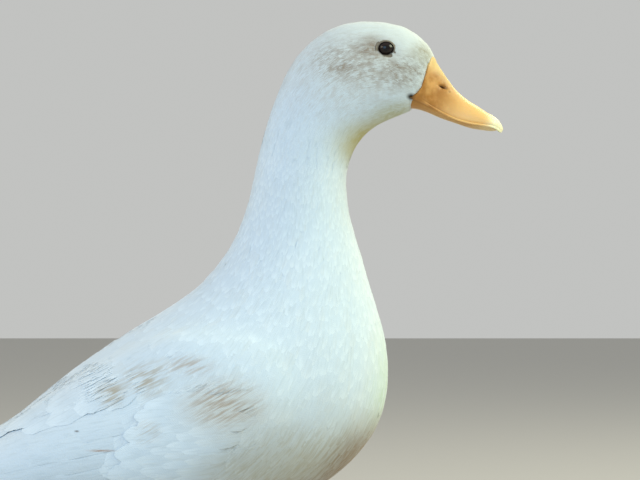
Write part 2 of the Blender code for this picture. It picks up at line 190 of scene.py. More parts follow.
def surface(*names: str) -> BVHTree:
    """The outsides of CAD solids, to find places on them."""
    vertices, faces = [], []
    for name in names:
        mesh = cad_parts[name].data
        start = len(vertices)
        vertices += [v.co[:] for v in mesh.vertices]
        faces += [[start + i for i in p.vertices] for p in mesh.polygons]
    return BVHTree.FromPolygons(vertices, faces)


def unit(vectors: Array) -> Array:
    """The same directions, one unit long."""
    return vectors / np.maximum(np.linalg.norm(vectors, axis=-1, keepdims=True), 1e-12)


def eased(values: Array) -> Array:
    """A smooth step from 0 to 1 over the values 0 to 1."""
    held = np.clip(values, 0, 1)
    return held * held * (3 - 2 * held)


def band(values: Array, start: float, rise: float, end: float, fall: float) -> Array:
    """1 between two values, rising after the start and falling again before the end."""
    return eased((values - start) / rise) * eased((end - values) / fall)


def ripple(points: Array, size: float, seed: int) -> Array:
    """Soft noise in space, from a few crossed waves.

    Args:
        points: Places in metres, one a row.
        size: The usual distance between crests, in metres.
        seed: Which noise.

    Returns:
        A value from about -1 to 1 at each place.
    """
    rng = np.random.default_rng(seed)
    waves = unit(rng.normal(size=(9, 3))) * (2 * math.pi / size) * rng.uniform(0.6, 1.5, (9, 1))
    phases = rng.uniform(0, 2 * math.pi, 9)
    return np.sin(points @ waves.T + phases).sum(axis=1) / 4.2


def finish_piece(piece: Object, finish: Material,
                 stands_for: tuple[str, ...] = ()) -> None:
    """Dresses a piece, fixes it to the model and says which solids it stands for.

    Args:
        piece: The modelled object, at the origin.
        finish: Its only material.
        stands_for: CAD nodes that this piece replaces.
    """
    piece.data.materials.clear()
    piece.data.materials.append(finish)
    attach(piece, BODY)
    if stands_for:
        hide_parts(*stands_for)
    LOG.info("%s: %d faces", piece.name, len(piece.data.polygons))


def joined_copies(names: tuple[str, ...], title: str) -> Object:
    """Copies CAD solids into one new piece, with each solid's loose triangles merged.

    Args:
        names: The CAD nodes.
        title: The new piece's name.

    Returns:
        The piece, selected and active.
    """
    copies = []
    for name in names:
        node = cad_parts[name]
        copy = node.copy()
        copy.data = node.data.copy()
        copy.parent = None
        for key in list(copy.keys()):
            del copy[key]
        bpy.context.scene.collection.objects.link(copy)
        copies.append(copy)
    select_only(*copies)
    if len(copies) > 1:
        bpy.ops.object.join()
    piece = bpy.context.view_layer.objects.active
    piece.name = piece.data.name = title
    with editing(piece):
        bpy.ops.mesh.remove_doubles(threshold=MERGE)
    return piece


def melt(piece: Object, swell: float, voxel: float, smoothings: int,
         sink: float = 0.0) -> None:
    """Grows a piece's solids into one another, makes them one and smooths that.

    Args:
        piece: The piece, active.
        swell: How far its faces move out first.
        voxel: The size of the new faces.
        smoothings: How often they are smoothed.
        sink: How far they move back in at the end.
    """
    steps = [
        ("swell", "DISPLACE", {"mid_level": 0, "strength": swell}),
        ("remesh", "REMESH", {"mode": "VOXEL", "voxel_size": voxel}),
        ("smooth", "SMOOTH", {"iterations": smoothings}),
    ]
    if sink:
        steps.append(("sink", "DISPLACE", {"mid_level": 0, "strength": -sink}))
    for name, kind, settings in steps:
        modifier = piece.modifiers.new(name, kind)
        for key, value in settings.items():
            setattr(modifier, key, value)
        bpy.ops.object.modifier_apply(modifier=name)


def inside(node: str, along: float, up: float) -> tuple[float, float]:
    """A point of the duck's middle plane, as shares of a solid's box.

    Args:
        node: The CAD node.
        along: Share of its length, from its rear.
        up: Share of its height, from its foot.

    Returns:
        The point's X and Z in metres.
    """
    low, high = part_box(node)
    return low.x + (high.x - low.x) * along, low.z + (high.z - low.z) * up


class Spine:
    """The line through the middle of the duck, from the bill's root to the tip of the tail."""

    # The solids that the line runs through, with places in each as shares of its box.
    STOPS = (
        ("head", (0.92, 0.48), (0.78, 0.60), (0.63, 0.61), (0.47, 0.55), (0.33, 0.42)),
        ("neck", (0.66, 0.79), (0.55, 0.44), (0.50, 0.00)),
        ("trunk", (0.75, 0.61), (0.64, 0.35), (0.45, 0.18), (0.22, 0.11), (0.02, 0.13)),
        ("tail", (0.00, 0.70)),
    )
    STEP = 4 * MM
    # The curve is drawn through this many places first.
    DRAWN = 600
    # How soon one stretch of the spine hands a place near it over to the next.
    BLEND = 6 * MM

    def __init__(self) -> None:
        """Draws the line through its stops and measures it."""
        stops = np.array([inside(node, *spot) for node, *spots in self.STOPS for spot in spots])
        drawn = np.linspace(0, len(stops) - 1.001, self.DRAWN)
        dense = np.array([self.between(stops, t) for t in drawn])
        walked = np.concatenate(([0], np.cumsum(np.linalg.norm(np.diff(dense, axis=0), axis=1))))
        self.length = walked[-1]
        self.along = np.arange(0, self.length, self.STEP)
        x, z = (np.interp(self.along, walked, dense[:, k]) for k in (0, 1))
        run = np.stack([np.gradient(x), np.gradient(z)], axis=1)
        run = run / np.linalg.norm(run, axis=1, keepdims=True)
        level = np.zeros(len(x))
        self.run = np.stack([run[:, 0], level, run[:, 1]], axis=1)
        self.up = np.stack([run[:, 1], level, -run[:, 0]], axis=1)
        self.points = np.stack([x, level, z], axis=1)

    @staticmethod
    def between(stops: Array, place: float) -> Array:
        """A smooth curve through the stops.

        Args:
            stops: The stops, one a row.
            place: Where on the curve, counted in stops.

        Returns:
            The point there.
        """
        i = int(place)
        f = place - i
        last = len(stops) - 1
        a, b = stops[i], stops[min(i + 1, last)]
        before, after = stops[max(i - 1, 0)], stops[min(i + 2, last)]
        leave, arrive = (b - before) / 2, (after - a) / 2
        return (
            a * (2 * f**3 - 3 * f**2 + 1) + leave * (f**3 - 2 * f**2 + f)
            + b * (3 * f**2 - 2 * f**3) + arrive * (f**3 - f**2)
        )

    def read(self, points: Array) -> tuple[Array, Array, Array]:
        """Where points lie along and round the spine, and which way the coat runs there.

        Args:
            points: Places in metres, one a row.

        Returns:
            Distance along the spine, angle round it from the back towards the left, and the
            spine's own direction at each place.
        """
        gaps = np.linalg.norm(points[:, None, :] - self.points[None, :, :], axis=2)
        nearness = np.exp(-(gaps - gaps.min(axis=1, keepdims=True)) / self.BLEND)
        nearness /= nearness.sum(axis=1, keepdims=True)
        along = nearness @ self.along
        run = unit(nearness @ self.run)
        up = unit(nearness @ self.up)
        out = points - nearness @ self.points
        angle = np.arctan2(out[:, 1], (out * up).sum(axis=1))
        return along, angle, run


@dataclass
class CoatDepth:
    """How long, wide and deep the plain body feathers are along the spine."""

    spine: Spine

    # Share of the spine, then feather length, width and the coat's depth, in millimetres.
    TABLE = np.array([
        (0.000, 2.8, 0.9, 0.6), (0.030, 4.4, 1.1, 0.8),
        (0.070, 6.4, 1.35, 1.1), (0.115, 8.5, 1.8, 1.5),
        (0.160, 10.5, 2.4, 2.0), (0.230, 12.0, 3.6, 2.5),
        (0.300, 16.0, 5.5, 3.0), (0.370, 22.0, 9.0, 3.6),
        (0.440, 28.0, 13.0, 4.4), (0.530, 34.0, 17.0, 5.2),
        (0.650, 38.0, 19.0, 5.6), (0.790, 38.0, 18.0, 5.0),
        (0.880, 32.0, 14.0, 3.6), (0.940, 27.0, 11.0, 2.6),
        (1.000, 24.0, 10.0, 1.5),
    ])

    def read(self, along: Array) -> tuple[Array, Array, Array]:
        """Feather length and width and the coat's depth, in metres, along the spine."""
        share = along / self.spine.length
        columns = (np.interp(share, self.TABLE[:, 0], self.TABLE[:, k]) * MM for k in (1, 2, 3))
        return tuple(columns)


@dataclass
class Eye:
    """One eye of the duck, read from its CAD solid."""

    side: str
    centre: Vector = field(init=False)
    radius: float = field(init=False)
    half_width: float = 4.6 * MM
    half_height: float = 3.9 * MM
    # The ball's half length and half height as shares of its radius.
    long: float = 0.92
    tall: float = 0.79
    # How far inside the eye's middle a place may be and still count as over it.
    inward: float = 4 * MM

    def __post_init__(self) -> None:
        """Reads the eye's place and size from its solid."""
        low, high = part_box(f"eye_{self.side}")
        self.centre = (low + high) / 2
        self.radius = (high.x - low.x) / 2

    @classmethod
    def over(cls, points: Array, inner: float, outer: float) -> Array:
        """1 over either eye's opening and 0 away from it.

        Args:
            points: Places in metres, one a row.
            inner: How far outside the opening it is still 1, in millimetres.
            outer: How far outside the opening it falls to 0, in millimetres.

        Returns:
            A number from 0 to 1 for each place.
        """
        low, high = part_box("eye_left")
        centre = (low + high) / 2
        away = np.hypot((points[:, 0] - centre.x) / cls.half_width,
                        (points[:, 2] - centre.z) / cls.half_height) - 1
        away = away * (cls.half_width + cls.half_height) / 2
        near = eased((outer * MM - away) / ((outer - inner) * MM))
        return near * (np.abs(points[:, 1]) > centre.y - cls.inward)


class Skin:
    """The one skin under all the feathers, and what is known at every place on it."""

    VOXEL = 2.0 * MM
    SWELL = 1.3 * MM
    SMOOTHINGS = 10
    # The body is smoothed more, between two shares of the spine, and the rear most of all.
    BODY_SMOOTHINGS = 24
    BODY = (0.30, 0.10, 0.93, 0.06)
    REAR_SMOOTHINGS = 130
    REAR_START, REAR_FADE = 45 * MM, 25 * MM
    # Up to this share of the spine the skin meets the solids again after its smoothing.
    FILLED, FILL_FADE = 0.46, 0.08
    # The coat's depth on the drumsticks; how far round them, and how far up over the belly's
    # lowest line, a place counts as on them, and over what height that fades.
    THIGH_DEPTH = 2.2 * MM
    THIGH_REACH, THIGH_OVER, THIGH_FADE = 24 * MM, 6 * MM, 9 * MM
    # How far the skin is sunk under the bill and under the eyes.
    BILL_BED = 1.2 * MM
    SOCKET = 2.6 * MM
    SOCKET_EDGE = (0.4, 1.7)
    # Turns an angle round the spine into a usual distance over the skin.
    GIRTH = 30 * MM
    # The skin ends this far from the tail's end, inside the fan and its coverts.
    CORE_END = CAD_BOX[0].x + 55 * MM
    # The way that feathers run on the drumsticks: down and a little back.
    LEG_RUN = (-0.35, 0, -0.94)
    # How far above the drumstick's foot feathers may run on past the skin.
    HOCK = 7 * MM
    # The most that the skin is moved to meet the solids again.
    FILL = 4 * MM
    # A feather runs straight on where the skin turns away from it by more than this cosine.
    TURN = 0.35

    def __init__(self, spine: Spine, depth: CoatDepth) -> None:
        """Builds the skin's mesh and reads its fields.

        Args:
            spine: The duck's middle line.
            depth: The coat's depth along it.
        """
        self.spine = spine
        self.depth = depth
        self.piece = self.build()
        self.read_fields()

    def build(self) -> Object:
        """Makes one smooth closed skin of the solids and sinks it by the coat's depth."""
        piece = joined_copies((*FLESH, "eye_left", "eye_right", "tail"), "skin")
        melt(piece, self.SWELL, self.VOXEL, self.SMOOTHINGS)
        mesh = piece.data
        co = numbers(mesh.vertices, "co")
        along, _, _ = self.spine.read(co)
        share = along / self.spine.length
        body = (band(share, *self.BODY) * (1 - self.on_thigh(co)))[:, None]
        edges = self.edges(mesh)
        for _ in range(self.BODY_SMOOTHINGS):
            co = co + (self.spread(co, edges, 1) - co) * body
        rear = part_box("tail")[1].x + self.REAR_START - co[:, 0]
        rear = eased(rear / self.REAR_FADE)[:, None]
        for _ in range(self.REAR_SMOOTHINGS):
            co = co + (self.spread(co, edges, 1) - co) * rear
        place_vertices(mesh, co)
        normals = numbers(mesh.vertices, "normal")
        filled = eased((self.FILLED - share) / self.FILL_FADE)
        co += normals * (self.drawn_in(co, normals, edges) * filled)[:, None]
        sink = self.depth.read(along)[2]
        sink = sink * (1 - self.on_thigh(co)) + self.THIGH_DEPTH * self.on_thigh(co)
        sink = sink + self.BILL_BED * BillBorder.ahead(co, self.BILL_BED)
        sink = sink + self.SOCKET * Eye.over(co, *self.SOCKET_EDGE)
        co -= normals * (sink + self.SWELL * (1 - filled))[:, None]
        place_vertices(mesh, co)
        mesh.shade_smooth()
        return piece

    def drawn_in(self, co: Array, normals: Array, edges: Array) -> Array:
        """How far the smoothed skin lies inside the solids of head, neck and trunk.

        Args:
            co: The skin's vertices.
            normals: The way the skin faces there.
            edges: The skin's edges.

        Returns:
            The distance in metres, with its own small steps smoothed away.
        """
        solids = surface("head", "neck", "trunk")
        near = np.array([solids.find_nearest(p)[0][:] for p in co.tolist()])
        gap = ((near - co) * normals).sum(axis=1)
        return self.spread(np.clip(gap, -self.FILL, self.FILL)[:, None], edges, 5)[:, 0]

    def trim(self) -> None:
        """Cuts the skin off inside the tail, once the feathers' maps are read from it."""
        with editing(self.piece):
            bpy.ops.mesh.bisect(plane_co=(self.CORE_END, 0, 0), plane_no=(-1, 0, 0),
                                use_fill=True, clear_outer=True)

    @staticmethod
    def edges(mesh: Mesh) -> Array:
        """The two vertices of each edge."""
        flat = np.empty(len(mesh.edges) * 2, np.int32)
        mesh.edges.foreach_get("vertices", flat)
        return flat.reshape(-1, 2)

    @classmethod
    def on_thigh(cls, points: Array) -> Array:
        """1 on the drumsticks and 0 away from them."""
        low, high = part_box("thigh_left")
        x, y = (low.x + high.x) / 2, (low.y + high.y) / 2
        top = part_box("trunk")[0].z
        aside = np.hypot(points[:, 0] - x, np.abs(points[:, 1]) - y) / cls.THIGH_REACH
        return eased(1.6 - aside) * eased((top + cls.THIGH_OVER - points[:, 2])
                                          / cls.THIGH_FADE)

    def read_fields(self) -> None:
        """Reads the skin's smooth normals, its lie of the coat and its place along the spine."""
        mesh = self.piece.data
        self.co = numbers(mesh.vertices, "co")
        self.faces = np.array([list(p.vertices) for p in mesh.polygons])
        edges = self.edges(mesh)
        self.along, self.angle, run = self.spine.read(self.co)
        leg = self.on_thigh(self.co)[:, None]
        run = unit(run * (1 - leg) + np.array(self.LEG_RUN) * leg)
        self.normal = unit(self.spread(numbers(mesh.vertices, "normal"), edges, 6))
        flow = run - self.normal * (run * self.normal).sum(axis=1, keepdims=True)
        flow = unit(self.spread(flow, edges, 10))
        self.flow = unit(flow - self.normal * (flow * self.normal).sum(axis=1, keepdims=True))
        lie = np.stack([self.along, self.angle * self.GIRTH, 0 * self.along], axis=1) / MM
        mark(mesh, "lie", lie)
        self.tree = BVHTree.FromPolygons(self.co.tolist(), self.faces.tolist())

    @staticmethod
    def spread(values: Array, edges: Array, rounds: int) -> Array:
        """Averages values with their neighbours' along the edges.

        Args:
            values: One row for each vertex.
            edges: The two vertices of each edge.
            rounds: How often this is done.

        Returns:
            The smoothed values.
        """
        count = np.bincount(edges.ravel(), minlength=len(values))[:, None] + 1
        for _ in range(rounds):
            total = values.copy()
            np.add.at(total, edges[:, 0], values[edges[:, 1]])
            np.add.at(total, edges[:, 1], values[edges[:, 0]])
            values = total / count
        return values

    def sample(self, points: Array) -> dict[str, Array]:
        """What the skin is like at the places on it nearest to the points.

        Args:
            points: Places in metres, one a row.

        Returns:
            The places on the skin, their faces, and the fields there.
        """
        found = [self.tree.find_nearest(p) for p in points.tolist()]
        place = np.array([f[0][:] for f in found])
        face = np.array([f[2] for f in found])
        corners = self.faces[face]
        away = np.linalg.norm(self.co[corners] - place[:, None, :], axis=2)
        weight = 1 / (away + 0.05 * MM) ** 2
        weight /= weight.sum(axis=1, keepdims=True)
        normal, flow = (unit((values[corners] * weight[:, :, None]).sum(axis=1))
                        for values in (self.normal, self.flow))
        along = (self.along[corners] * weight).sum(axis=1)
        return {"place": place, "face": face, "weight": weight, "normal": normal, "flow": flow,
                "along": along, "angle": self.angle[corners[:, 0]]}

    def from_side(self, x: float, z: float, side: int) -> Array:
        """The place on the skin that shows at X and Z when the duck is seen from one side."""
        found = self.tree.ray_cast(Vector((x, side * 0.3, z)), Vector((0, -side, 0)))
        if found[0] is None:
            found = self.tree.find_nearest(Vector((x, side * 30 * MM, z)))
        return np.array(found[0][:])

    def walk(self, place: Array, normal: Array, heading: Array, step: Array,
             snug: float) -> tuple[Array, Array, Array]:
        """Takes feathers one step along the skin, and straight on below the drumsticks.

        Args:
            place: Where the feathers are.
            normal: The way the coat faces there.
            heading: The way they run.
            step: How far they go.
            snug: How much they turn to the lie of the coat.

        Returns:
            The new places, normals and headings.
        """
        ahead = place + heading * step[:, None]
        found = self.sample(ahead)
        gap = np.linalg.norm(ahead - found["place"], axis=1)
        off = (gap > 1.0 * MM) & (ahead[:, 2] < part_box("thigh_left")[0].z + self.HOCK)
        off |= (found["normal"] * normal).sum(axis=1) < self.TURN
        off = off[:, None]
        place = np.where(off, ahead, found["place"])
        normal = np.where(off, normal, found["normal"])
        return place, normal, heading + np.where(off, 0, found["flow"] * snug)


@dataclass(frozen=True)
class VaneForm:
    """How a kind of feather is shaped and how finely it is meshed."""

    # Where its rings of points are along it, and its columns across it.
    stations: tuple[float, ...]
    across: tuple[float, ...]
    # True where its edges follow the skin.
    wraps: bool = False
    # The share of its width at its root, and where along it is widest.
    quill: float = 0.3
    widest: float = 0.5
    # How much lower its root is than its tip, how far the tip then dips, and its edges' droop.
    step: float = 0.5 * MM
    tuck: float = 0.25 * MM
    droop: float = 0.2 * MM
    thickness: float = 0.12 * MM
    # How unevenly wide it is, where it has risen to its height and how round its end is.
    ragged: float = 0.04
    risen: float = 0.4
    roundness: float = 2.2
    # True where the whole vane shows and none of it gets the painted shade of an overlapped root.
    bright: bool = False
    # How far from the skin a vane's edge may be and still be drawn to it.
    reach: float = 9.0 * MM
    # How much of the vane's own round form shows in its shading.
    round: float = 0.17
    # The share of its width that it keeps where the skin turns away too sharply to follow.
    slim: float = 0.2

    def height(self, t: float, depth: Array) -> Array:
        """How high the shaft is over its root at a share of the vane's length."""
        early = 1 - (1 - min(t / self.risen, 1.0)) ** 2
        dip = max(0.0, (t - 0.8) / 0.2) ** 2
        return depth * early + self.step * (t - 1) - self.tuck * dip

    def width(self, t: float) -> float:
        """The share of its full width that the vane has at a share of its length."""
        if t < self.widest:
            return self.quill + (1 - self.quill) * float(eased(np.array(t / self.widest)))
        gone = (t - self.widest) / (1 - self.widest)
        return max(0.08, math.sqrt(max(0.0, 1 - gone ** self.roundness)))


# The columns of points across a vane, as shares of its half width.
THREE, FIVE, SEVEN = (-1, 0, 1), (-1, -0.5, 0, 0.5, 1), (-1, -0.7, -0.35, 0, 0.35, 0.7, 1)
PLUME = VaneForm((0, 0.35, 0.7, 1.0), THREE, widest=0.4, step=0.16 * MM, tuck=0.08 * MM,
                 droop=0.16 * MM, thickness=0.06 * MM, ragged=0.1, roundness=1.5)
FINE = VaneForm((0, 0.2, 0.4, 0.6, 0.78, 0.92, 1.0), FIVE, wraps=True, step=0.25 * MM,
                tuck=0.2 * MM, droop=0.34 * MM, thickness=0.08 * MM, ragged=0.12,
                roundness=1.6, round=0.09)
BROAD = VaneForm((0, 0.2, 0.38, 0.54, 0.66, 0.76, 0.85, 0.92, 0.97, 1.0), SEVEN, wraps=True,
                 ragged=0.11, step=0.3 * MM, tuck=0.35 * MM, droop=0.42 * MM,
                 thickness=0.1 * MM, round=0.06)
DOWN = VaneForm((0, 0.35, 0.7, 1.0), THREE, wraps=True, thickness=0.1 * MM)
STRAND = VaneForm((0, 0.5, 1.0), THREE, widest=0.45, step=0.1 * MM, tuck=0.16 * MM,
                  droop=0.04 * MM, thickness=0.05 * MM, ragged=0.12, quill=0.35,
                  roundness=1.3, round=0.12, bright=True)
LONG = VaneForm((0, 0.08, 0.2, 0.34, 0.48, 0.62, 0.74, 0.84, 0.91, 0.96, 0.99, 1.0), SEVEN,
                wraps=True, quill=0.6, widest=0.3, thickness=0.25 * MM, ragged=0.012,
                risen=0.3, roundness=3.2, slim=1.0)


@dataclass
class Roots:
    """The roots of a lot of feathers, with the size, aim and height of each."""

    place: Array
    aim: Array
    length: Array
    width: Array
    depth: Array
    base: Array

    def pick(self, chosen: Array) -> "Roots":
        """Only the chosen feathers."""
        return Roots(*(getattr(self, name)[chosen] for name in self.__dataclass_fields__))

    def under(self, length: float = 0.85, width: float = 1.45, depth: float = 0.55) -> "Roots":
        """The down that closes the gaps between these: wider, shorter and about half as high.

        Args:
            length: The down's length as a share of the feathers'.
            width: Its width as a share of theirs.
            depth: Its height over the skin as a share of theirs.

        Returns:
            The down's roots.
        """
        return Roots(self.place, self.aim, self.length * length, self.width * width,
                     self.depth * depth, self.base * 0)


class Plumage:
    """Makes joined meshes of feathers that lie along the skin."""

    # The size of one feather's patch on the skin's own unwrapping.
    PATCH = 0.003
    # One unit of the map that each vane has of its own.
    MAP_UNIT = 100 * MM
    UNWRAP_ANGLE = math.radians(66)
    UNWRAP_MARGIN = 0.003

    def __init__(self, skin: Skin, finish: Material) -> None:
        """Keeps the skin the feathers walk over and unwraps it for their baked colours.

        Args:
            skin: The duck's skin.
            finish: The feathers' material.
        """
        self.skin = skin
        self.finish = finish
        with editing(skin.piece):
            bpy.ops.uv.smart_project(angle_limit=self.UNWRAP_ANGLE,
                                     island_margin=self.UNWRAP_MARGIN)
        layer = skin.piece.data.uv_layers[0]
        layer.name = "OFBake"
        self.unwrap = numbers(layer.data, "uv", 2).reshape(-1, 4, 2)
        skin.trim()

    def feathers(self, name: str, roots: Roots, form: VaneForm, seed: int,
                 snug: float = 0.6) -> None:
        """Builds one piece of many feathers.

        Args:
            name: The piece's name.
            roots: Where the feathers start and how big they are.
            form: Their shape.
            seed: Their small differences.
            snug: How much each one turns to the lie of the coat as it goes, from 0 to 1.
        """
        rng = np.random.default_rng(seed)
        count = len(roots.place)
        rows, columns = len(form.stations), len(form.across)
        first = self.skin.sample(roots.place)
        place, heading, normal = first["place"], roots.aim, first["normal"]
        points = np.empty((count, rows, columns + 1, 3))
        facing = np.empty((count, rows, columns + 1, 3))
        vane = np.empty((rows, columns + 1, 2))
        uneven = 1 + rng.uniform(-form.ragged, form.ragged, (count, rows, 2))
        before = 0.0
        for row, t in enumerate(form.stations):
            if row:
                step = (t - before) * roots.length
                place, normal, heading = self.skin.walk(place, normal, heading, step,
                                                        snug * (t - before))
                before = t
            heading = unit(heading - normal * (heading * normal).sum(axis=1, keepdims=True))
            beside = np.cross(normal, heading)
            share = form.width(t)
            half = roots.width / 2 * share
            height = roots.base + form.height(t, roots.depth)
            for column, a in enumerate(form.across):
                side = place + beside * (half * a * uneven[:, row, 0 if a < 0 else 1])[:, None]
                out = normal
                if form.wraps and a:
                    aside = self.skin.sample(side)
                    near = np.linalg.norm(side - aside["place"], axis=1) < form.reach
                    near &= (aside["normal"] * normal).sum(axis=1) > Skin.TURN
                    slim = place + (side - place) * form.slim
                    side = np.where(near[:, None], aside["place"], slim)
                    out = np.where(near[:, None], aside["normal"], normal)
                points[:, row, column] = side + out * (height - form.droop * a * a)[:, None]
                facing[:, row, column] = out + beside * (form.round * a) + heading * (
                    form.round * 1.6 * t ** 3)
                vane[row, column] = (0.5 + a / 2 * share, t)
            under = height - form.thickness - form.droop
            points[:, row, columns] = place + normal * under[:, None]
            facing[:, row, columns] = -normal
            vane[row, columns] = (0.5, t)
        tone = rng.random(count)
        self.mesh(name, points, facing, vane, roots, tone, bright=form.bright)

    def mesh(self, name: str, points: Array, facing: Array, vane: Array,
             roots: Roots, tone: Array, stands_for: tuple[str, ...] = (),
             bright: bool = False) -> None:
        """Joins the feathers' points into closed vanes and dresses the piece.

        Args:
            name: The piece's name.
            points: Each feather's rings of points.
            facing: The way that the coat faces at each point.
            vane: Each ring point's place across and along its vane.
            roots: The feathers' sizes.
            tone: A number from 0 to 1 for each feather, by which its shade differs.
            stands_for: CAD nodes the piece replaces.
            bright: True if the vanes show whole, from root to tip.
        """
        count, rows, ring, _ = points.shape
        quads, hidden = [], []
        for row in range(rows - 1):
            a, b = row * ring, (row + 1) * ring
            for k in range(ring):
                j = (k + 1) % ring
                quads.append((a + k, b + k, b + j, a + j))
                hidden.append(k >= ring - 2)
        under = ring - 1
        for base, turn in ((0, 1), ((rows - 1) * ring, -1)):
            fans = [(k, k + 1, k + 2, under) for k in range(0, ring - 2, 2)]
            quads += [tuple(base + f for f in fan[::turn]) for fan in fans]
            hidden += [True] * len(fans)
        quads = np.array(quads)
        every = (np.arange(count)[:, None, None] * rows * ring + quads[None]).reshape(-1, 4)
        mesh = bpy.data.meshes.new(name)
        mesh.vertices.add(count * rows * ring)
        mesh.vertices.foreach_set("co", points.astype(np.float32).ravel())
        mesh.loops.add(every.size)
        mesh.loops.foreach_set("vertex_index", every.astype(np.int32).ravel())
        mesh.polygons.add(len(every))
        mesh.polygons.foreach_set("loop_start", np.arange(0, every.size, 4, dtype=np.int32))
        mesh.update(calc_edges=True)
        crisp = mesh.attributes.new("sharp_face", "BOOLEAN", "FACE")
        crisp.data.foreach_set("value", np.tile(np.array(hidden), count))
        flipped = np.where(np.tile(hidden, count)[:, None], -1.0, 1.0)
        normals = unit(facing.reshape(-1, 3))
        below = np.arange(len(normals)) % ring == under
        normals[below] *= -1
        corners = normals[every.ravel()].reshape(-1, 4, 3) * flipped[:, None]
        mesh.normals_split_custom_set(corners.reshape(-1, 3))
        mark(mesh, "tone", np.repeat(tone, rows * ring))
        # The share along each vane, by which the material paints shade towards the overlapped
        # root; 1 all over where vanes show whole.
        shown = np.maximum(vane[..., 1], 1.0 if bright else 0.0)
        mark(mesh, "tip", np.tile(shown.ravel(), count))
        flat_vane = vane.reshape(-1, 2)[quads.ravel()]
        size = np.stack([roots.width, roots.length], axis=1)
        real = (flat_vane[None] - (0.5, 0)) * size[:, None, :] / self.MAP_UNIT + (0.5, 0)
        layer = mesh.uv_layers.new(name="Vane")
        layer.data.foreach_set("uv", real.astype(np.float32).ravel())
        first = self.skin.sample(roots.place)
        start = np.stack([first["along"], first["angle"] * Skin.GIRTH], axis=1)
        spread = (vane[..., ::-1].reshape(-1, 2)[None] - (0, 0.5)) * size[:, None, ::-1]
        lie = np.zeros((count, rows * ring, 3))
        lie[..., :2] = (start[:, None, :] + spread) / MM
        mark(mesh, "lie", lie)
        corners = (self.unwrap[first["face"]] * first["weight"][:, :, None]).sum(axis=1)
        patch = corners[:, None, :] + (flat_vane[None] - 0.5) * self.PATCH
        layer = mesh.uv_layers.new(name="OFBake")
        layer.data.foreach_set("uv", patch.astype(np.float32).ravel())
        piece = bpy.data.objects.new(name, mesh)
        bpy.context.scene.collection.objects.link(piece)
        finish_piece(piece, self.finish, stands_for)


class BillBorder:
    """The line where the feathers of the face end and the bill starts."""

    # From chin to forehead: X and Z in millimetres from the upper bill's rear lower corner.
    LINE = np.array([
        (-5.2, 8.0), (-4.0, 16.5), (-4.7, 22.6), (-1.5, 24.0), (0.4, 26.2), (2.2, 28.8),
        (3.8, 33.0), (5.2, 38.0), (6.6, 43.5),
    ]) * MM
    # Where the forehead's feathers end on the bill's ridge, from the same corner.
    POINT = (12.2 * MM, 42.1 * MM)

    @classmethod
    def line(cls) -> Array:
        """The line's places in metres, as X and Z."""
        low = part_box("bill_upper")[0]
        return cls.LINE + (low.x, low.z)

    @classmethod
    def ahead(cls, points: Array, beyond: float = 0.0) -> Array:
        """Which places are in front of the border.

        Args:
            points: Places in metres, one a row.
            beyond: How far past the border they have to be.

        Returns:
            True for those that are.
        """
        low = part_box("bill_upper")[0]
        line = cls.line()
        edge = np.interp(points[:, 2], line[:, 1], line[:, 0]) + beyond
        top = np.interp(points[:, 0], (line[-1, 0], low.x + cls.POINT[0]),
                        (line[-1, 1], low.z + cls.POINT[1])) - beyond
        return (points[:, 0] > edge) & (points[:, 2] < top)


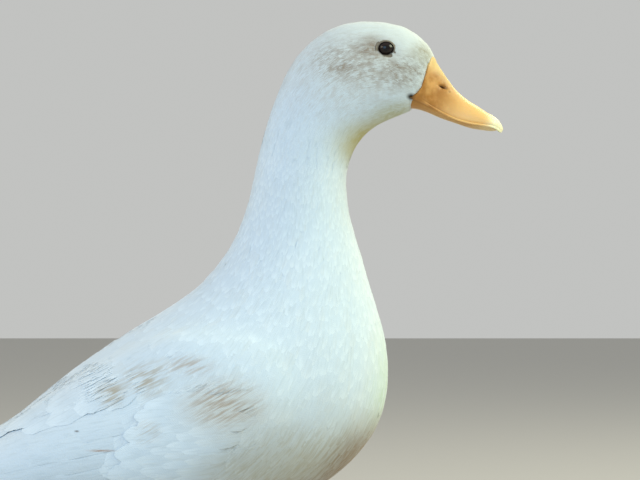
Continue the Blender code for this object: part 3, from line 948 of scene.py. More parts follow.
class Coat:
    """The plain feathers that cover head, neck, body and thighs."""

    # Gaps between roots as a share of the feather's width, for narrow and for broad ones.
    CROWDING = (0.49, 0.41)
    NARROW, WIDE = 3 * MM, 8 * MM
    # How many places are tried for each root, and the share of its square gap that a root needs.
    CANDIDATES = 7
    PACKING = 0.8
    # How far feathers turn aside: each by itself, and together in waves of a width.
    YAW, WAVE_YAW, WAVE = math.radians(5), math.radians(7), 22 * MM
    # The feathers over the wing stand higher and are longer; those over the thighs are shorter.
    SCAPULAR_LIFT = 1.45 * MM
    SCAPULAR_LENGTH = 0.15
    THIGH_CUT = 0.42
    # Length, width and depth of the feathers on the drumsticks.
    THIGH_SIZES = (9.5 * MM, 5 * MM, Skin.THIGH_DEPTH)
    # The neck's ridges, and between which shares of the spine they are.
    FURROW_WIDTH, FURROW_DEPTH = 9 * MM, 0.16 * MM
    FURROWED = (0.13, 0.05, 0.36, 0.07)
    # Loose barbs start at this share of the spine. They lie on a coat that is as deep as at the
    # roots of the feathers that end there.
    STRAND_START, STRAND_FADE = 0.15, 0.06
    STRAND_LAG = 20 * MM
    # No feather is rooted lower than this over the drumsticks' lower ends.
    HEM = 8.5 * MM
    # No coat feather is rooted behind this: the last ones are the tail's coverts.
    COVERT_END = CAD_BOX[0].x + 58 * MM
    # Behind here the rump's sides are sharp edges: the feathers above and below them meet there.
    EDGE_END = CAD_BOX[0].x + 102 * MM
    # A place is on such an edge where the skin faces up or down by less than this share.
    EDGE_TURN = 0.62
    EDGE_REACH = 5 * MM
    EDGE_FADE = 37 * MM

    def __init__(self, skin: Skin) -> None:
        """Spreads the roots of all the plain feathers over the skin."""
        self.skin = skin
        self.rng = np.random.default_rng(11)
        self.roots, self.along = self.spread_roots()

    def spread_roots(self) -> tuple[Roots, Array]:
        """Places the roots, evenly crowded for their size, and says how far along each is."""
        skin, rng = self.skin, self.rng
        quads = skin.co[skin.faces]
        area = self.area(quads)
        leg = skin.on_thigh(quads.mean(axis=1))
        width = self.sizes(skin.along[skin.faces].mean(axis=1), leg)[1]
        gap = width * np.interp(width, (self.NARROW, self.WIDE), self.CROWDING)
        wanted = area / (self.PACKING * gap ** 2) * self.CANDIDATES
        number = rng.poisson(wanted)
        face = np.repeat(np.arange(len(quads)), number)
        a, b = rng.random((2, len(face), 1))
        corners = quads[face]
        spots = (
            (corners[:, 0] * (1 - a) + corners[:, 1] * a) * (1 - b)
            + (corners[:, 3] * (1 - a) + corners[:, 2] * a) * b
        )
        reach = gap[face]
        bare = self.bare(spots)
        spots, reach = spots[~bare], reach[~bare]
        kept = self.thin_out(spots, reach)
        spots = spots[kept]
        there = skin.sample(spots)
        sharp = np.abs(there["normal"][:, 2]) < self.EDGE_TURN
        dropped = sharp & (spots[:, 0] < self.EDGE_END)
        aside = skin.sample(spots + np.sign(spots) * (0, self.EDGE_REACH, 0))
        sharp = np.abs(aside["normal"][:, 2]) < self.EDGE_TURN
        dropped |= sharp & (spots[:, 0] < self.EDGE_END - self.EDGE_FADE)
        spots = spots[~dropped]
        there = skin.sample(spots)
        leg = skin.on_thigh(there["place"])
        length, wide, depth = self.sizes(there["along"], leg)
        jitter = rng.normal(0, 1, (5, len(spots)))
        beside = np.cross(there["normal"], there["flow"])
        yaw = self.YAW * jitter[0] + self.WAVE_YAW * ripple(there["place"], self.WAVE, 3)
        aim = Soiling.lie(there, unit(there["flow"] + beside * np.tan(yaw)[:, None]))
        scapular = FoldedWing.above(there["place"])
        short = 1 - self.THIGH_CUT * self.over_thigh(there["place"]) * (1 - leg)
        longer = 1 + self.SCAPULAR_LENGTH * scapular
        roots = Roots(
            place=there["place"],
            aim=aim,
            length=length * (1 + 0.10 * jitter[1]) * longer * short,
            width=wide * (1 + 0.08 * jitter[2]) * short,
            depth=(depth + self.SCAPULAR_LIFT * scapular) * (1 + 0.012 * jitter[3]),
            base=depth * 0.008 * jitter[4] + self.furrows(there),
        )
        return roots, there["along"]

    def furrows(self, there: dict[str, Array]) -> Array:
        """How much the neck's plumage is raised into long soft ridges at sampled places."""
        share = there["along"] / self.skin.spine.length
        on_neck = band(share, *self.FURROWED)
        across = there["angle"] * Skin.GIRTH + 5 * MM * ripple(there["place"], 40 * MM, 8)
        wave = np.sin(across * 2 * math.pi / self.FURROW_WIDTH)
        return self.FURROW_DEPTH * on_neck * (wave + 0.6 * ripple(there["place"], 12 * MM, 9))

    def strands(self, count: int, seed: int) -> Roots:
        """Roots of fine loose barbs that lie on top of the coat and soften its edges.

        Args:
            count: How many.
            seed: Their places and small differences.

        Returns:
            The strands' roots, at the coat's outer face.
        """
        skin, rng = self.skin, np.random.default_rng(seed)
        quads = skin.co[skin.faces]
        share = skin.along[skin.faces].mean(axis=1) / skin.spine.length
        wanted = eased((share - self.STRAND_START) / self.STRAND_FADE) * self.area(quads)
        wanted = wanted * (1 - skin.on_thigh(quads.mean(axis=1)))
        face = rng.choice(len(quads), count * 2, p=wanted / wanted.sum())
        f = rng.random((len(face), 2, 1))
        corners = quads[face]
        spots = corners[:, 0] + (corners[:, 1] - corners[:, 0]) * f[:, 0] + (
            corners[:, 3] - corners[:, 0]) * f[:, 1]
        spots = spots[~(self.bare(spots) | FoldedWing.covers(spots))][:count]
        there = skin.sample(spots)
        depth = skin.depth.read(there["along"] - self.STRAND_LAG)[2]
        rootward = there["place"] - there["flow"] * self.STRAND_LAG
        depth = depth + self.SCAPULAR_LIFT * FoldedWing.above(rootward) + self.furrows(there)
        number = len(spots)
        yaw = math.radians(6) * rng.normal(size=number)
        yaw += math.radians(12) * ripple(there["place"], 26 * MM, 4)
        beside = np.cross(there["normal"], there["flow"])
        rough = Soiling.at(there["place"])
        size = np.interp(there["along"] / skin.spine.length, (0.15, 0.35, 0.6), (7, 11, 14)) * MM
        return Roots(
            place=there["place"],
            aim=Soiling.lie(there, unit(there["flow"] + beside * np.tan(yaw)[:, None])),
            length=size * rng.uniform(0.7, 1.25, number),
            width=(0.75 * MM + 0.75 * MM * rough) * rng.uniform(0.7, 1.3, number),
            depth=0.26 * MM + 0.75 * MM * rough * rng.uniform(0.2, 1, number),
            base=depth - 0.24 * MM,
        )

    @staticmethod
    def area(quads: Array) -> Array:
        """The area of each four-cornered face."""
        one = np.cross(quads[:, 1] - quads[:, 0], quads[:, 2] - quads[:, 0])
        two = np.cross(quads[:, 2] - quads[:, 0], quads[:, 3] - quads[:, 0])
        return (np.linalg.norm(one, axis=1) + np.linalg.norm(two, axis=1)) / 2

    def sizes(self, along: Array, leg: Array) -> tuple[Array, ...]:
        """Feather length, width and depth by place, smaller on the thighs."""
        length, width, depth = self.skin.depth.read(along)
        return tuple(v * (1 - leg) + s * leg
                     for v, s in zip((length, width, depth), self.THIGH_SIZES))

    @staticmethod
    def over_thigh(points: Array) -> Array:
        """1 where feathers of full size would hang down over the drumsticks, and 0 elsewhere."""
        low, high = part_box("thigh_left")
        middle = (low + high) / 2
        aside = np.hypot(points[:, 0] - middle.x - 8 * MM, np.abs(points[:, 1]) - middle.y)
        return eased((46 * MM - aside) / (16 * MM)) * eased((high.z + 14 * MM - points[:, 2])
                                                            / (12 * MM))

    def bare(self, points: Array) -> Array:
        """True where no feather grows: over the eyes, under the bill and under the hocks."""
        empty = Eye.over(points, 0.0, 0.5) > 0.5
        empty |= BillBorder.ahead(points)
        empty |= points[:, 0] < self.COVERT_END
        empty |= points[:, 2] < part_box("thigh_left")[0].z + self.HEM
        return empty

    @staticmethod
    def thin_out(spots: Array, reach: Array) -> Array:
        """Keeps spots in turn and drops those within reach of one already kept.

        Args:
            spots: The places to choose from.
            reach: How far each one keeps others away.

        Returns:
            The numbers of the kept ones.
        """
        listed = spots.tolist()
        tree = KDTree(len(listed))
        for i, spot in enumerate(listed):
            tree.insert(spot, i)
        tree.balance()
        alive = np.ones(len(listed), bool)
        kept = []
        for i in np.random.default_rng(5).permutation(len(listed)):
            if alive[i]:
                kept.append(i)
                for _, j, _ in tree.find_range(listed[i], reach[i]):
                    alive[j] = False
        return np.array(kept)


class FoldedWing:
    """Where the folded wing's own feathers lie, and where the shoulder's hang over them."""

    # The edge of the shoulder feathers, from the rear, as shares of the wing's box.
    EDGE = np.array([(-0.10, 0.06), (0.015, 0.14), (0.18, 0.31), (0.336, 0.42), (0.454, 0.50),
                     (0.579, 0.595), (0.70, 0.68), (1.0, 0.95)])
    REAR, FRONT = 0.16, 0.66
    MARGIN = 4 * MM

    @classmethod
    def shares(cls, points: Array) -> tuple[Array, Array]:
        """Share of the wing's length, and height over the edge in metres, at places."""
        low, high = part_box("wing_left")
        along = (points[:, 0] - low.x) / (high.x - low.x)
        edge = low.z + np.interp(along, cls.EDGE[:, 0], cls.EDGE[:, 1]) * (high.z - low.z)
        return along, points[:, 2] - edge

    @classmethod
    def above(cls, points: Array) -> Array:
        """1 where shoulder feathers hang over the wing, fading to 0 further up and forward."""
        along, height = cls.shares(points)
        band = eased(height / (4 * MM) + 0.5) * eased((36 * MM - height) / (14 * MM))
        return band * eased((0.72 - along) / 0.12)

    @classmethod
    def covers(cls, points: Array) -> Array:
        """True where the wing's long feathers and coverts lie over all else."""
        along, height = cls.shares(points)
        on_side = np.abs(points[:, 1]) > 15 * MM
        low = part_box("wing_left")[0].z
        within = (along > cls.REAR) & (along < cls.FRONT) & (height < -cls.MARGIN)
        return within & (points[:, 2] > low + cls.MARGIN) & on_side


class Soiling:
    """The two rough, parted places above the wing."""

    # X and Z, then half length and half height, as shares of the wing's box.
    SPOTS = ((0.605, 0.63, 0.105, 0.13), (0.818, 0.55, 0.125, 0.19))
    SLANT = math.radians(28)
    # Only places further than this from the middle are on the duck's side.
    SIDE = 20 * MM

    @classmethod
    def at(cls, points: Array) -> Array:
        """1 in the middle of a rough place and 0 away from them."""
        low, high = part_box("wing_left")
        along = (points[:, 0] - low.x) / (high.x - low.x)
        up = (points[:, 2] - low.z) / (high.z - low.z)
        rough = 0 * along
        for x, z, wide, tall in cls.SPOTS:
            away = np.hypot((along - x) / wide, (up - z) / tall)
            rough = np.maximum(rough, eased((1 - away) / 0.6))
        return rough * (np.abs(points[:, 1]) > cls.SIDE)

    @classmethod
    def lie(cls, there: dict[str, Array], aim: Array) -> Array:
        """Feathers' aims at sampled places, turned to slant down and back in the rough ones."""
        slanted = np.array([-math.cos(cls.SLANT), 0, -math.sin(cls.SLANT)])
        flat = slanted - there["normal"] * (there["normal"] @ slanted)[:, None]
        much = cls.at(there["place"])[:, None]
        return unit(aim * (1 - much) + unit(flat) * much)


class Streaks(Enum):
    """The kinds of lines that a stain breaks up into."""

    COAT = "long lines along the coat"
    FACE = "short fine lines along the coat of the face"
    SLANTED = "lines that slant down and back, where the coat is parted"


@dataclass(frozen=True)
class Stain:
    """A soiled or tinted place on the plumage, or a patch of painted shade, the same on both
    sides.
    """

    centre: tuple[float, float, float]
    radii: tuple[float, float, float]
    colour: str
    strength: float
    streaky: float
    kind: Streaks = Streaks.COAT


@dataclass(frozen=True)
class WhiteFeather:
    """White feather keratin: matt, with soft barbs that lie in fine slanting lines.

    The barbs scatter light, which gives a chalky white with a slight sheen towards the rim.
    """

    colour: str = "#ECF4F7"
    shade: str = "#DCEAF3"
    # Painted shade: the colour each vane darkens to towards its overlapped root, and that the skin
    # under the coat goes half way to.
    down: str = "#CBD8E2"
    dust: str = "#D3D6D2"
    # Painted shade of fine furrows, laid in long streaks along the coat.
    furrow_shade: str = "#C6D2D8"
    roughness: float = 0.8
    # Clouds and specks per metre: one each 38 mm and each 5 mm.
    clouds: float = 26.0
    specks: float = 190.0
    # Each feather's own streaks, 1.1 mm wide and 11 mm long: turns per unit of its map.
    own_streak: tuple[float, float, float] = (90, 9, 40)
    # Streaks that run on from feather to feather: per millimetre along and across the coat.
    streak: tuple[float, float, float] = (1 / 14, 1 / 1.4, 1.0)
    face_streak: tuple[float, float, float] = (1 / 8, 1 / 0.6, 1.0)
    # Streaks of the parted places: length and width of one, and how steeply it slants.
    slant_size: tuple[float, float, float] = (13 * MM, 13 * MM, 1.3 * MM)
    slant: float = Soiling.SLANT
    # Real barbs lie 0.3 mm apart, too fine to show: these stand for clumps of them.
    barb_spacing: float = 1.3 * MM
    # Where each stain is, its half sizes, colour, strength, and how streaky it is.
    stains_and_painted_light: tuple[Stain, ...] = tuple(Stain(*row) for row in (
        ((0.150, 0.0, 0.366), (0.080, 0.060, 0.054), "#DFDAC2", 0.60, 0.15),
        ((0.130, 0.0, 0.352), (0.064, 0.060, 0.046), "#AE9C86", 0.50, 0.95, Streaks.FACE),
        # Partly olive soiling and partly a painted tint of the light along the breast's lit front
        # edge.
        ((0.160, 0.010, 0.156), (0.026, 0.060, 0.070), "#BCD4A0", 0.55, 0.55),
        # Partly grey-buff soiling and partly painted shade over the lower flank and belly.
        ((0.110, 0.040, 0.112), (0.100, 0.080, 0.064), "#B2A88E", 0.60, 0.30),
        ((0.140, 0.0, 0.118), (0.044, 0.080, 0.045), "#80602A", 0.95, 0.40),
        ((0.120, 0.0, 0.094), (0.070, 0.090, 0.056), "#76521A", 0.80, 0.40),
        ((0.136, 0.0, 0.116), (0.034, 0.060, 0.040), "#8A5A1C", 0.50, 0.70),
        ((0.085, 0.060, 0.112), (0.070, 0.040, 0.040), "#B4AC94", 0.70, 0.40),
        ((0.143, 0.0, 0.316), (0.046, 0.036, 0.024), "#B0A04C", 1.00, 0.20),
        ((0.158, 0.008, 0.334), (0.024, 0.020, 0.012), "#B4AC70", 0.70, 0.50, Streaks.FACE),
        ((0.146, 0.018, 0.374), (0.017, 0.014, 0.012), "#80664E", 0.85, 0.50, Streaks.FACE),
        ((0.167, 0.016, 0.359), (0.025, 0.014, 0.017), "#85705A", 0.75, 0.75, Streaks.FACE),
        ((0.150, 0.018, 0.357), (0.034, 0.014, 0.015), "#94806A", 0.60, 0.90, Streaks.FACE),
        ((0.126, 0.022, 0.368), (0.042, 0.020, 0.022), "#957F68", 0.60, 0.90, Streaks.FACE),
        ((0.128, 0.024, 0.361), (0.013, 0.018, 0.005), "#8A7258", 0.60, 0.60, Streaks.FACE),
        ((0.178, 0.010, 0.370), (0.014, 0.012, 0.012), "#9C8E6E", 0.75, 0.60, Streaks.FACE),
        # Painted shade: a dark spot in the recess at the corner of the mouth.
        ((0.1698, 0.014, 0.3432), (0.0040, 0.020, 0.0031), "#24160A", 1.00, 0.00),
        ((0.056, 0.070, 0.154), (0.042, 0.040, 0.028), "#D0C9B8", 0.60, 0.20),
        # The slanted rows are partly buff soiling and partly painted shade in the gaps between
        # parted barbs.
        ((0.055, 0.070, 0.157), (0.034, 0.040, 0.021), "#AC9680", 0.80, 0.90, Streaks.SLANTED),
        ((0.034, 0.070, 0.180), (0.022, 0.040, 0.010), "#B0977C", 0.60, 0.80, Streaks.SLANTED),
        ((0.008, 0.070, 0.172), (0.022, 0.050, 0.016), "#A58E68", 0.65, 0.85, Streaks.SLANTED),
        ((-0.013, 0.070, 0.163), (0.014, 0.050, 0.012), "#A8926C", 0.70, 0.80, Streaks.SLANTED),
        ((0.010, 0.070, 0.140), (0.012, 0.040, 0.012), "#B49A74", 0.40, 0.90, Streaks.SLANTED),
        ((-0.018, 0.070, 0.1291), (0.013, 0.040, 0.0012), "#A8703C", 0.80, 0.50),
        ((-0.0335, 0.070, 0.1405), (0.0022, 0.030, 0.0010), "#5A5048", 0.80, 0.30),
    ))

    def build(self) -> Material:
        """Makes the material with its stained places and painted shade, its barbs and each
        feather's own shade.
        """
        mat = Recipe("white_feather_keratin")
        place = mat.add("TexCoord").outputs["Object"]
        x, y, z = mat.add("SeparateXYZ", (place,)).outputs
        folded = mat.add("Math", (y,), operation="ABSOLUTE")
        both = mat.add("CombineXYZ", {"X": x, "Y": folded, "Z": z})
        vane = mat.add("UVMap", uv_map="Vane")
        across, along, _ = mat.add("SeparateXYZ", (vane,)).outputs
        tone, tip = (mat.add("Attribute", attribute_name=name).outputs["Fac"]
                     for name in ("tone", "tip"))
        own_place = mat.add("CombineXYZ", {"X": across, "Y": along, "Z": tone})
        stretched = mat.add("VectorMath", (own_place, self.own_streak),
                            operation="MULTIPLY")
        streaks = mat.add("TexNoise", {
            "Vector": stretched, "Scale": 1.0, "Detail": 3.0, "Roughness": 0.6,
        })
        lines = self.lines(mat, both)
        cloud = mat.add("TexNoise", {"Vector": place, "Scale": self.clouds, "Detail": 3.0})
        speck = mat.add("TexNoise", {"Vector": place, "Scale": self.specks, "Detail": 2.0})
        # Painted shade: each vane darker towards its overlapped root, and the skin, which has no
        # tip mark, half as dark.
        root_shade = mat.add("MapRange", (tip, 0.55, 0.92, 0.5, 0.0), **SMOOTH)
        own = mat.add("Math", (tone, streaks), operation="MULTIPLY")
        dusty = mat.add("MapRange", (own, 0.30, 0.62, 0.0, 0.3))
        # Painted shade of fine furrows along the coat's long streaks.
        furrow_shade = mat.add("MapRange", (lines[Streaks.COAT], 0.50, 0.72, 0.0, 0.5))
        colour = srgb(self.colour)
        for amount, tint in ((cloud, self.shade), (root_shade, self.down), (dusty, self.dust),
                             (furrow_shade, self.furrow_shade)):
            colour = mat.add("Mix", {"Factor": amount, "A": colour, "B": srgb(tint)},
                             data_type="RGBA")
        for stain in self.stains_and_painted_light:
            colour = self.soil_and_shade(mat, stain, both, lines[stain.kind], speck, colour)
        return mat.done({
            "Base Color": colour, "Roughness": self.roughness, "Specular IOR Level": 0.25,
            "Sheen Weight": 0.25, "Sheen Roughness": 0.4,
            "Normal": self.barbs(mat, across, along, streaks),
        })

    def lines(self, mat: Recipe, both: Node) -> dict[Streaks, Node]:
        """The streaks that stains of each kind break up into.

        Args:
            mat: The material.
            both: The place, with both sides of the duck folded into one.

        Returns:
            Noise drawn out into lines, for each kind.
        """
        lie = mat.add("Attribute", attribute_name="lie").outputs["Vector"]
        coat, face = (mat.add("VectorMath", (lie, stretch), operation="MULTIPLY")
                      for stretch in (self.streak, self.face_streak))
        slanted = mat.add("Mapping", {
            "Vector": both, "Rotation": (0, -self.slant, 0), "Scale": self.slant_size,
        }, vector_type="TEXTURE")
        return {
            kind: mat.add("TexNoise", {
                "Vector": drawn, "Scale": 1.0, "Detail": detail, "Distortion": distortion,
            })
            for kind, drawn, detail, distortion in (
                (Streaks.COAT, coat, 3.0, 0.6), (Streaks.FACE, face, 2.0, 0.4),
                (Streaks.SLANTED, slanted, 1.0, 0.2),
            )
        }

    @staticmethod
    def soil_and_shade(mat: Recipe, stain: Stain, both: Node, lines: Node, speck: Node,
             colour: Node) -> Node:
        """Lays one stain or patch of painted shade over the colour so far.

        Args:
            mat: The material.
            stain: The stain.
            both: The place, with both sides of the duck folded into one.
            lines: Streaks of the stain's kind.
            speck: Small blotches.
            colour: The colour before the stain.

        Returns:
            The colour with the stain.
        """
        moved = mat.add("VectorMath", (both, stain.centre), operation="SUBTRACT")
        shrunk = mat.add("VectorMath", (moved, stain.radii), operation="DIVIDE")
        away = mat.add("VectorMath", (shrunk,), operation="LENGTH")
        mask = mat.add("MapRange", (away, 0.1, 1.0, stain.strength, 0.0), **SMOOTH)
        mixed = mat.add("Math", (speck, 0.2, lines), operation="MULTIPLY_ADD")
        broken = mat.add("MapRange", (mixed, 0.51, 0.73, 1 - stain.streaky, 1.0))
        amount = mat.add("Math", (mask, broken), operation="MULTIPLY")
        return mat.add("Mix", {"Factor": amount, "A": colour, "B": srgb(stain.colour)},
                       data_type="RGBA")

    def barbs(self, mat: Recipe, across: NodeSocket, along: NodeSocket, streaks: Node) -> Node:
        """Raises the lines of the barbs, slanting from the shaft to the feather's edge.

        Args:
            mat: The material.
            across: The place across the vane.
            along: The place along it.
            streaks: Lines along the feather.

        Returns:
            The bump.
        """
        centred = mat.add("Math", (across, 0.5), operation="SUBTRACT")
        aside = mat.add("Math", (centred,), operation="ABSOLUTE")
        slant = mat.add("Math", (aside, -0.9, along), operation="MULTIPLY_ADD")
        turns = 2 * math.pi * Plumage.MAP_UNIT / self.barb_spacing
        wave = mat.add("Math", (slant, turns), operation="MULTIPLY")
        ridge = mat.add("Math", (wave,), operation="SINE")
        low = mat.add("Math", (ridge, 0.5), operation="MULTIPLY")
        height = mat.add("Math", (streaks, 4.0, low), operation="MULTIPLY_ADD")
        return mat.add("Bump", {"Strength": 0.35, "Distance": 0.1 * MM, "Height": height})


class Studio:
    """The pale floor, the soft lights and the camera."""

    # The picture's width at the duck, and its middle: back from the bill, down from the crown.
    FRAME_WIDTH = 396.8 * MM
    MIDDLE = (113.1 * MM, 135.6 * MM)
    LENS = 250.0
    SENSOR = 36.0
    TILT = math.radians(1.5)
    # Name, place, size, power and colour of each light, all aimed at one place in the body.
    LIGHTS = (
        ("key", (1.6, -0.3, 1.3), 1.0, 24.5, "#F6FFDC"),
        ("rim", (1.0, 1.3, 1.6), 1.0, 15, "#FFF8E4"),
        ("fill", (-0.7, -2.1, 1.1), 1.6, 21, "#94CFFF"),
        ("back", (-1.9, -0.9, 1.3), 1.2, 12, "#FFF0D8"),
    )
    AIM = (0.03, 0, 0.2)

    def build(self) -> None:
        """Makes the floor, the world, the lights and the camera."""
        bpy.ops.mesh.primitive_plane_add(size=8)
        floor = bpy.context.object
        floor.name = "floor"
        floor.data.materials.append(Recipe("pale_studio_floor").done({
            "Base Color": srgb("#B9B7B2"), "Roughness": 0.8,
        }))
        world = bpy.data.worlds.new("studio")
        bpy.context.scene.world = world
        world.use_nodes = True
        back = world.node_tree.nodes["Background"]
        back.inputs["Color"].default_value = srgb("#CBCCCA")
        back.inputs["Strength"].default_value = 0.9
        for name, place, size, power, colour in self.LIGHTS:
            bpy.ops.object.light_add(type="AREA", location=place)
            lamp = bpy.context.object
            lamp.name = name
            lamp.data.size = size
            lamp.data.energy = power
            lamp.data.color = srgb(colour)[:3]
            aim = Vector(self.AIM) - Vector(place)
            lamp.rotation_euler = aim.to_track_quat("-Z", "Y").to_euler()
        self.camera()
        bpy.context.scene.view_settings.view_transform = "Standard"

    def camera(self) -> None:
        """Stands the camera square to the duck's right side, framing head, neck and breast."""
        high = CAD_BOX[1]
        target = Vector((high.x - self.MIDDLE[0], 0, high.z - self.MIDDLE[1]))
        away = self.LENS / self.SENSOR * self.FRAME_WIDTH
        place = target + Vector((0, -math.cos(self.TILT), math.sin(self.TILT))) * away
        bpy.ops.object.camera_add(location=place)
        camera = bpy.context.object
        camera.data.lens = self.LENS
        camera.data.sensor_width = self.SENSOR
        camera.data.clip_end = 40
        camera.rotation_euler = (target - place).to_track_quat("-Z", "Y").to_euler()
        bpy.context.scene.camera = camera


@dataclass
class LongFeather:
    """One long feather of the folded wing, from root to tip as shares of the wing's box."""

    root: tuple[float, float]
    tip: tuple[float, float]
    width: float
    lift: float


@dataclass
class Wing:
    """The visible feathers of one folded wing: coverts, tertials and primaries."""

    side: str
    skin: Skin
    plumage: Plumage
    tertial_width: float = 18 * MM
    primary_width: float = 14 * MM
    covert_width: float = 12 * MM

    def place(self, shares: tuple[float, float]) -> Array:
        """The place on the skin at shares of the wing's box, seen from the side."""
        x, z = inside(f"wing_{self.side}", *shares)
        return self.skin.from_side(x, z, SIDES[self.side])

    def layout(self) -> dict[str, list[LongFeather]]:
        """Where every long feather starts and ends, the lowest layers first."""
        primaries = [
            LongFeather((0.40 - 0.02 * i, 0.20 - 0.012 * i),
                        (0.045 - 0.026 * i, 0.155 + 0.004 * i),
                        self.primary_width, (0.28 * i - 0.6) * MM)
            for i in range(5)
        ]
        rows = (
            ((0.640, 0.070), (0.054, 0.004)), ((0.645, 0.150), (0.050, 0.026)),
            ((0.650, 0.235), (0.050, 0.070)), ((0.657, 0.325), (0.062, 0.135)),
            ((0.673, 0.410), (0.090, 0.215)), ((0.690, 0.495), (0.125, 0.300)),
            ((0.710, 0.580), (0.170, 0.385)),
        )
        tertials = [
            LongFeather(root, tip, self.tertial_width, (0.15 + 0.28 * min(i, 9 - i)) * MM)
            for i, (root, tip) in enumerate(rows)
        ]
        coverts = []
        for row in range(4):
            for i in range(11):
                f = (i + 0.5 * (row % 2)) / 11
                tip = (0.520 + 0.120 * f + 0.045 * row + 0.012 * math.sin(9.7 * i + 4 * row),
                       0.02 + 0.54 * f)
                root = (tip[0] + 0.150, tip[1] + 0.045 + 0.012 * math.sin(5.3 * i + 2 * row))
                lift = 0.2 + 0.28 * min(6.5 * f, 9 - 6.5 * f) + 0.06 * row
                coverts.append(LongFeather(root, tip, self.covert_width, lift * MM))
        return {"primaries": primaries, "tertials": tertials, "coverts": coverts}

    def roots(self, feathers: list[LongFeather]) -> Roots:
        """Turns planned feathers into roots on the skin, aimed along it."""
        starts = np.array([self.place(f.root) for f in feathers])
        ends = np.array([self.place(f.tip) for f in feathers])
        found = self.skin.sample(starts)
        depth = self.skin.depth.read(found["along"])[2]
        away = ends - starts
        return Roots(
            place=starts,
            aim=unit(away),
            length=np.linalg.norm(away, axis=1),
            width=np.array([f.width for f in feathers]),
            depth=depth + np.array([f.lift for f in feathers]),
            base=np.zeros(len(feathers)),
        )

    def build(self) -> None:
        """Makes the wing's pieces."""
        for group, feathers in self.layout().items():
            form = BROAD if group == "coverts" else LONG
            self.plumage.feathers(f"{group}_{self.side}", self.roots(feathers), form, seed=7,
                                  snug=0.0)


@dataclass
class Tail:
    """The fan of tail feathers, laid over one another from the middle out."""

    plumage: Plumage
    count: int = 16
    length: float = 78 * MM
    width: float = 17 * MM
    spread: float = math.radians(14)
    root_spread: float = 18 * MM
    stack: float = 0.35 * MM
    rounding: float = 20 * MM
    arch: float = 3.2
    drop: float = 4 * MM
    # How far over the lowest point of the tail's solid the tips lie.
    tip_rise: float = 10 * MM

    def build(self) -> None:
        """Makes the fan as one piece that stands for the tail's solid."""
        form = LONG
        end, root_top = CAD_BOX[0].x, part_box("tail")[1].z
        tip_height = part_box("tail")[0].z + self.tip_rise
        columns = len(form.across)
        points = np.empty((self.count, len(form.stations), columns + 1, 3))
        facing = np.zeros_like(points)
        facing[..., 2] = 1
        vane = np.empty((len(form.stations), columns + 1, 2))
        for i in range(self.count):
            share = (i - (self.count - 1) / 2) / ((self.count - 1) / 2)
            turn = self.spread * share
            start = np.array([end + self.length, share * self.root_spread, root_top - self.drop])
            reach = self.length - self.rounding * share * share
            run = np.array([-math.cos(turn), math.sin(turn), 0])
            beside = np.array([-math.sin(turn), -math.cos(turn), 0])
            for row, t in enumerate(form.stations):
                centre = start + run * (reach * t)
                centre[2] += (tip_height - start[2]) * t + self.stack * (1 - abs(share)) * 8
                half = self.width / 2 * form.width(t)
                for column, a in enumerate(form.across):
                    point = centre + beside * (half * a)
                    point[2] -= self.arch * point[1] ** 2 + form.droop * a * a
                    points[i, row, column] = point
                    vane[row, column] = (0.5 + a / 2 * form.width(t), t)
                centre[2] -= self.arch * centre[1] ** 2 + form.thickness + form.droop
                points[i, row, columns] = centre
                vane[row, columns] = (0.5, t)
        facing[:, :, columns, 2] = -1
        rng = np.random.default_rng(9)
        blank = np.zeros(self.count)
        roots = Roots(points[:, 0, columns // 2], facing[:, 0, 0], blank + self.length,
                      blank + self.width, blank, blank)
        self.plumage.mesh("tail_fan", points, facing, vane, roots, rng.random(self.count),
                          ("tail",))


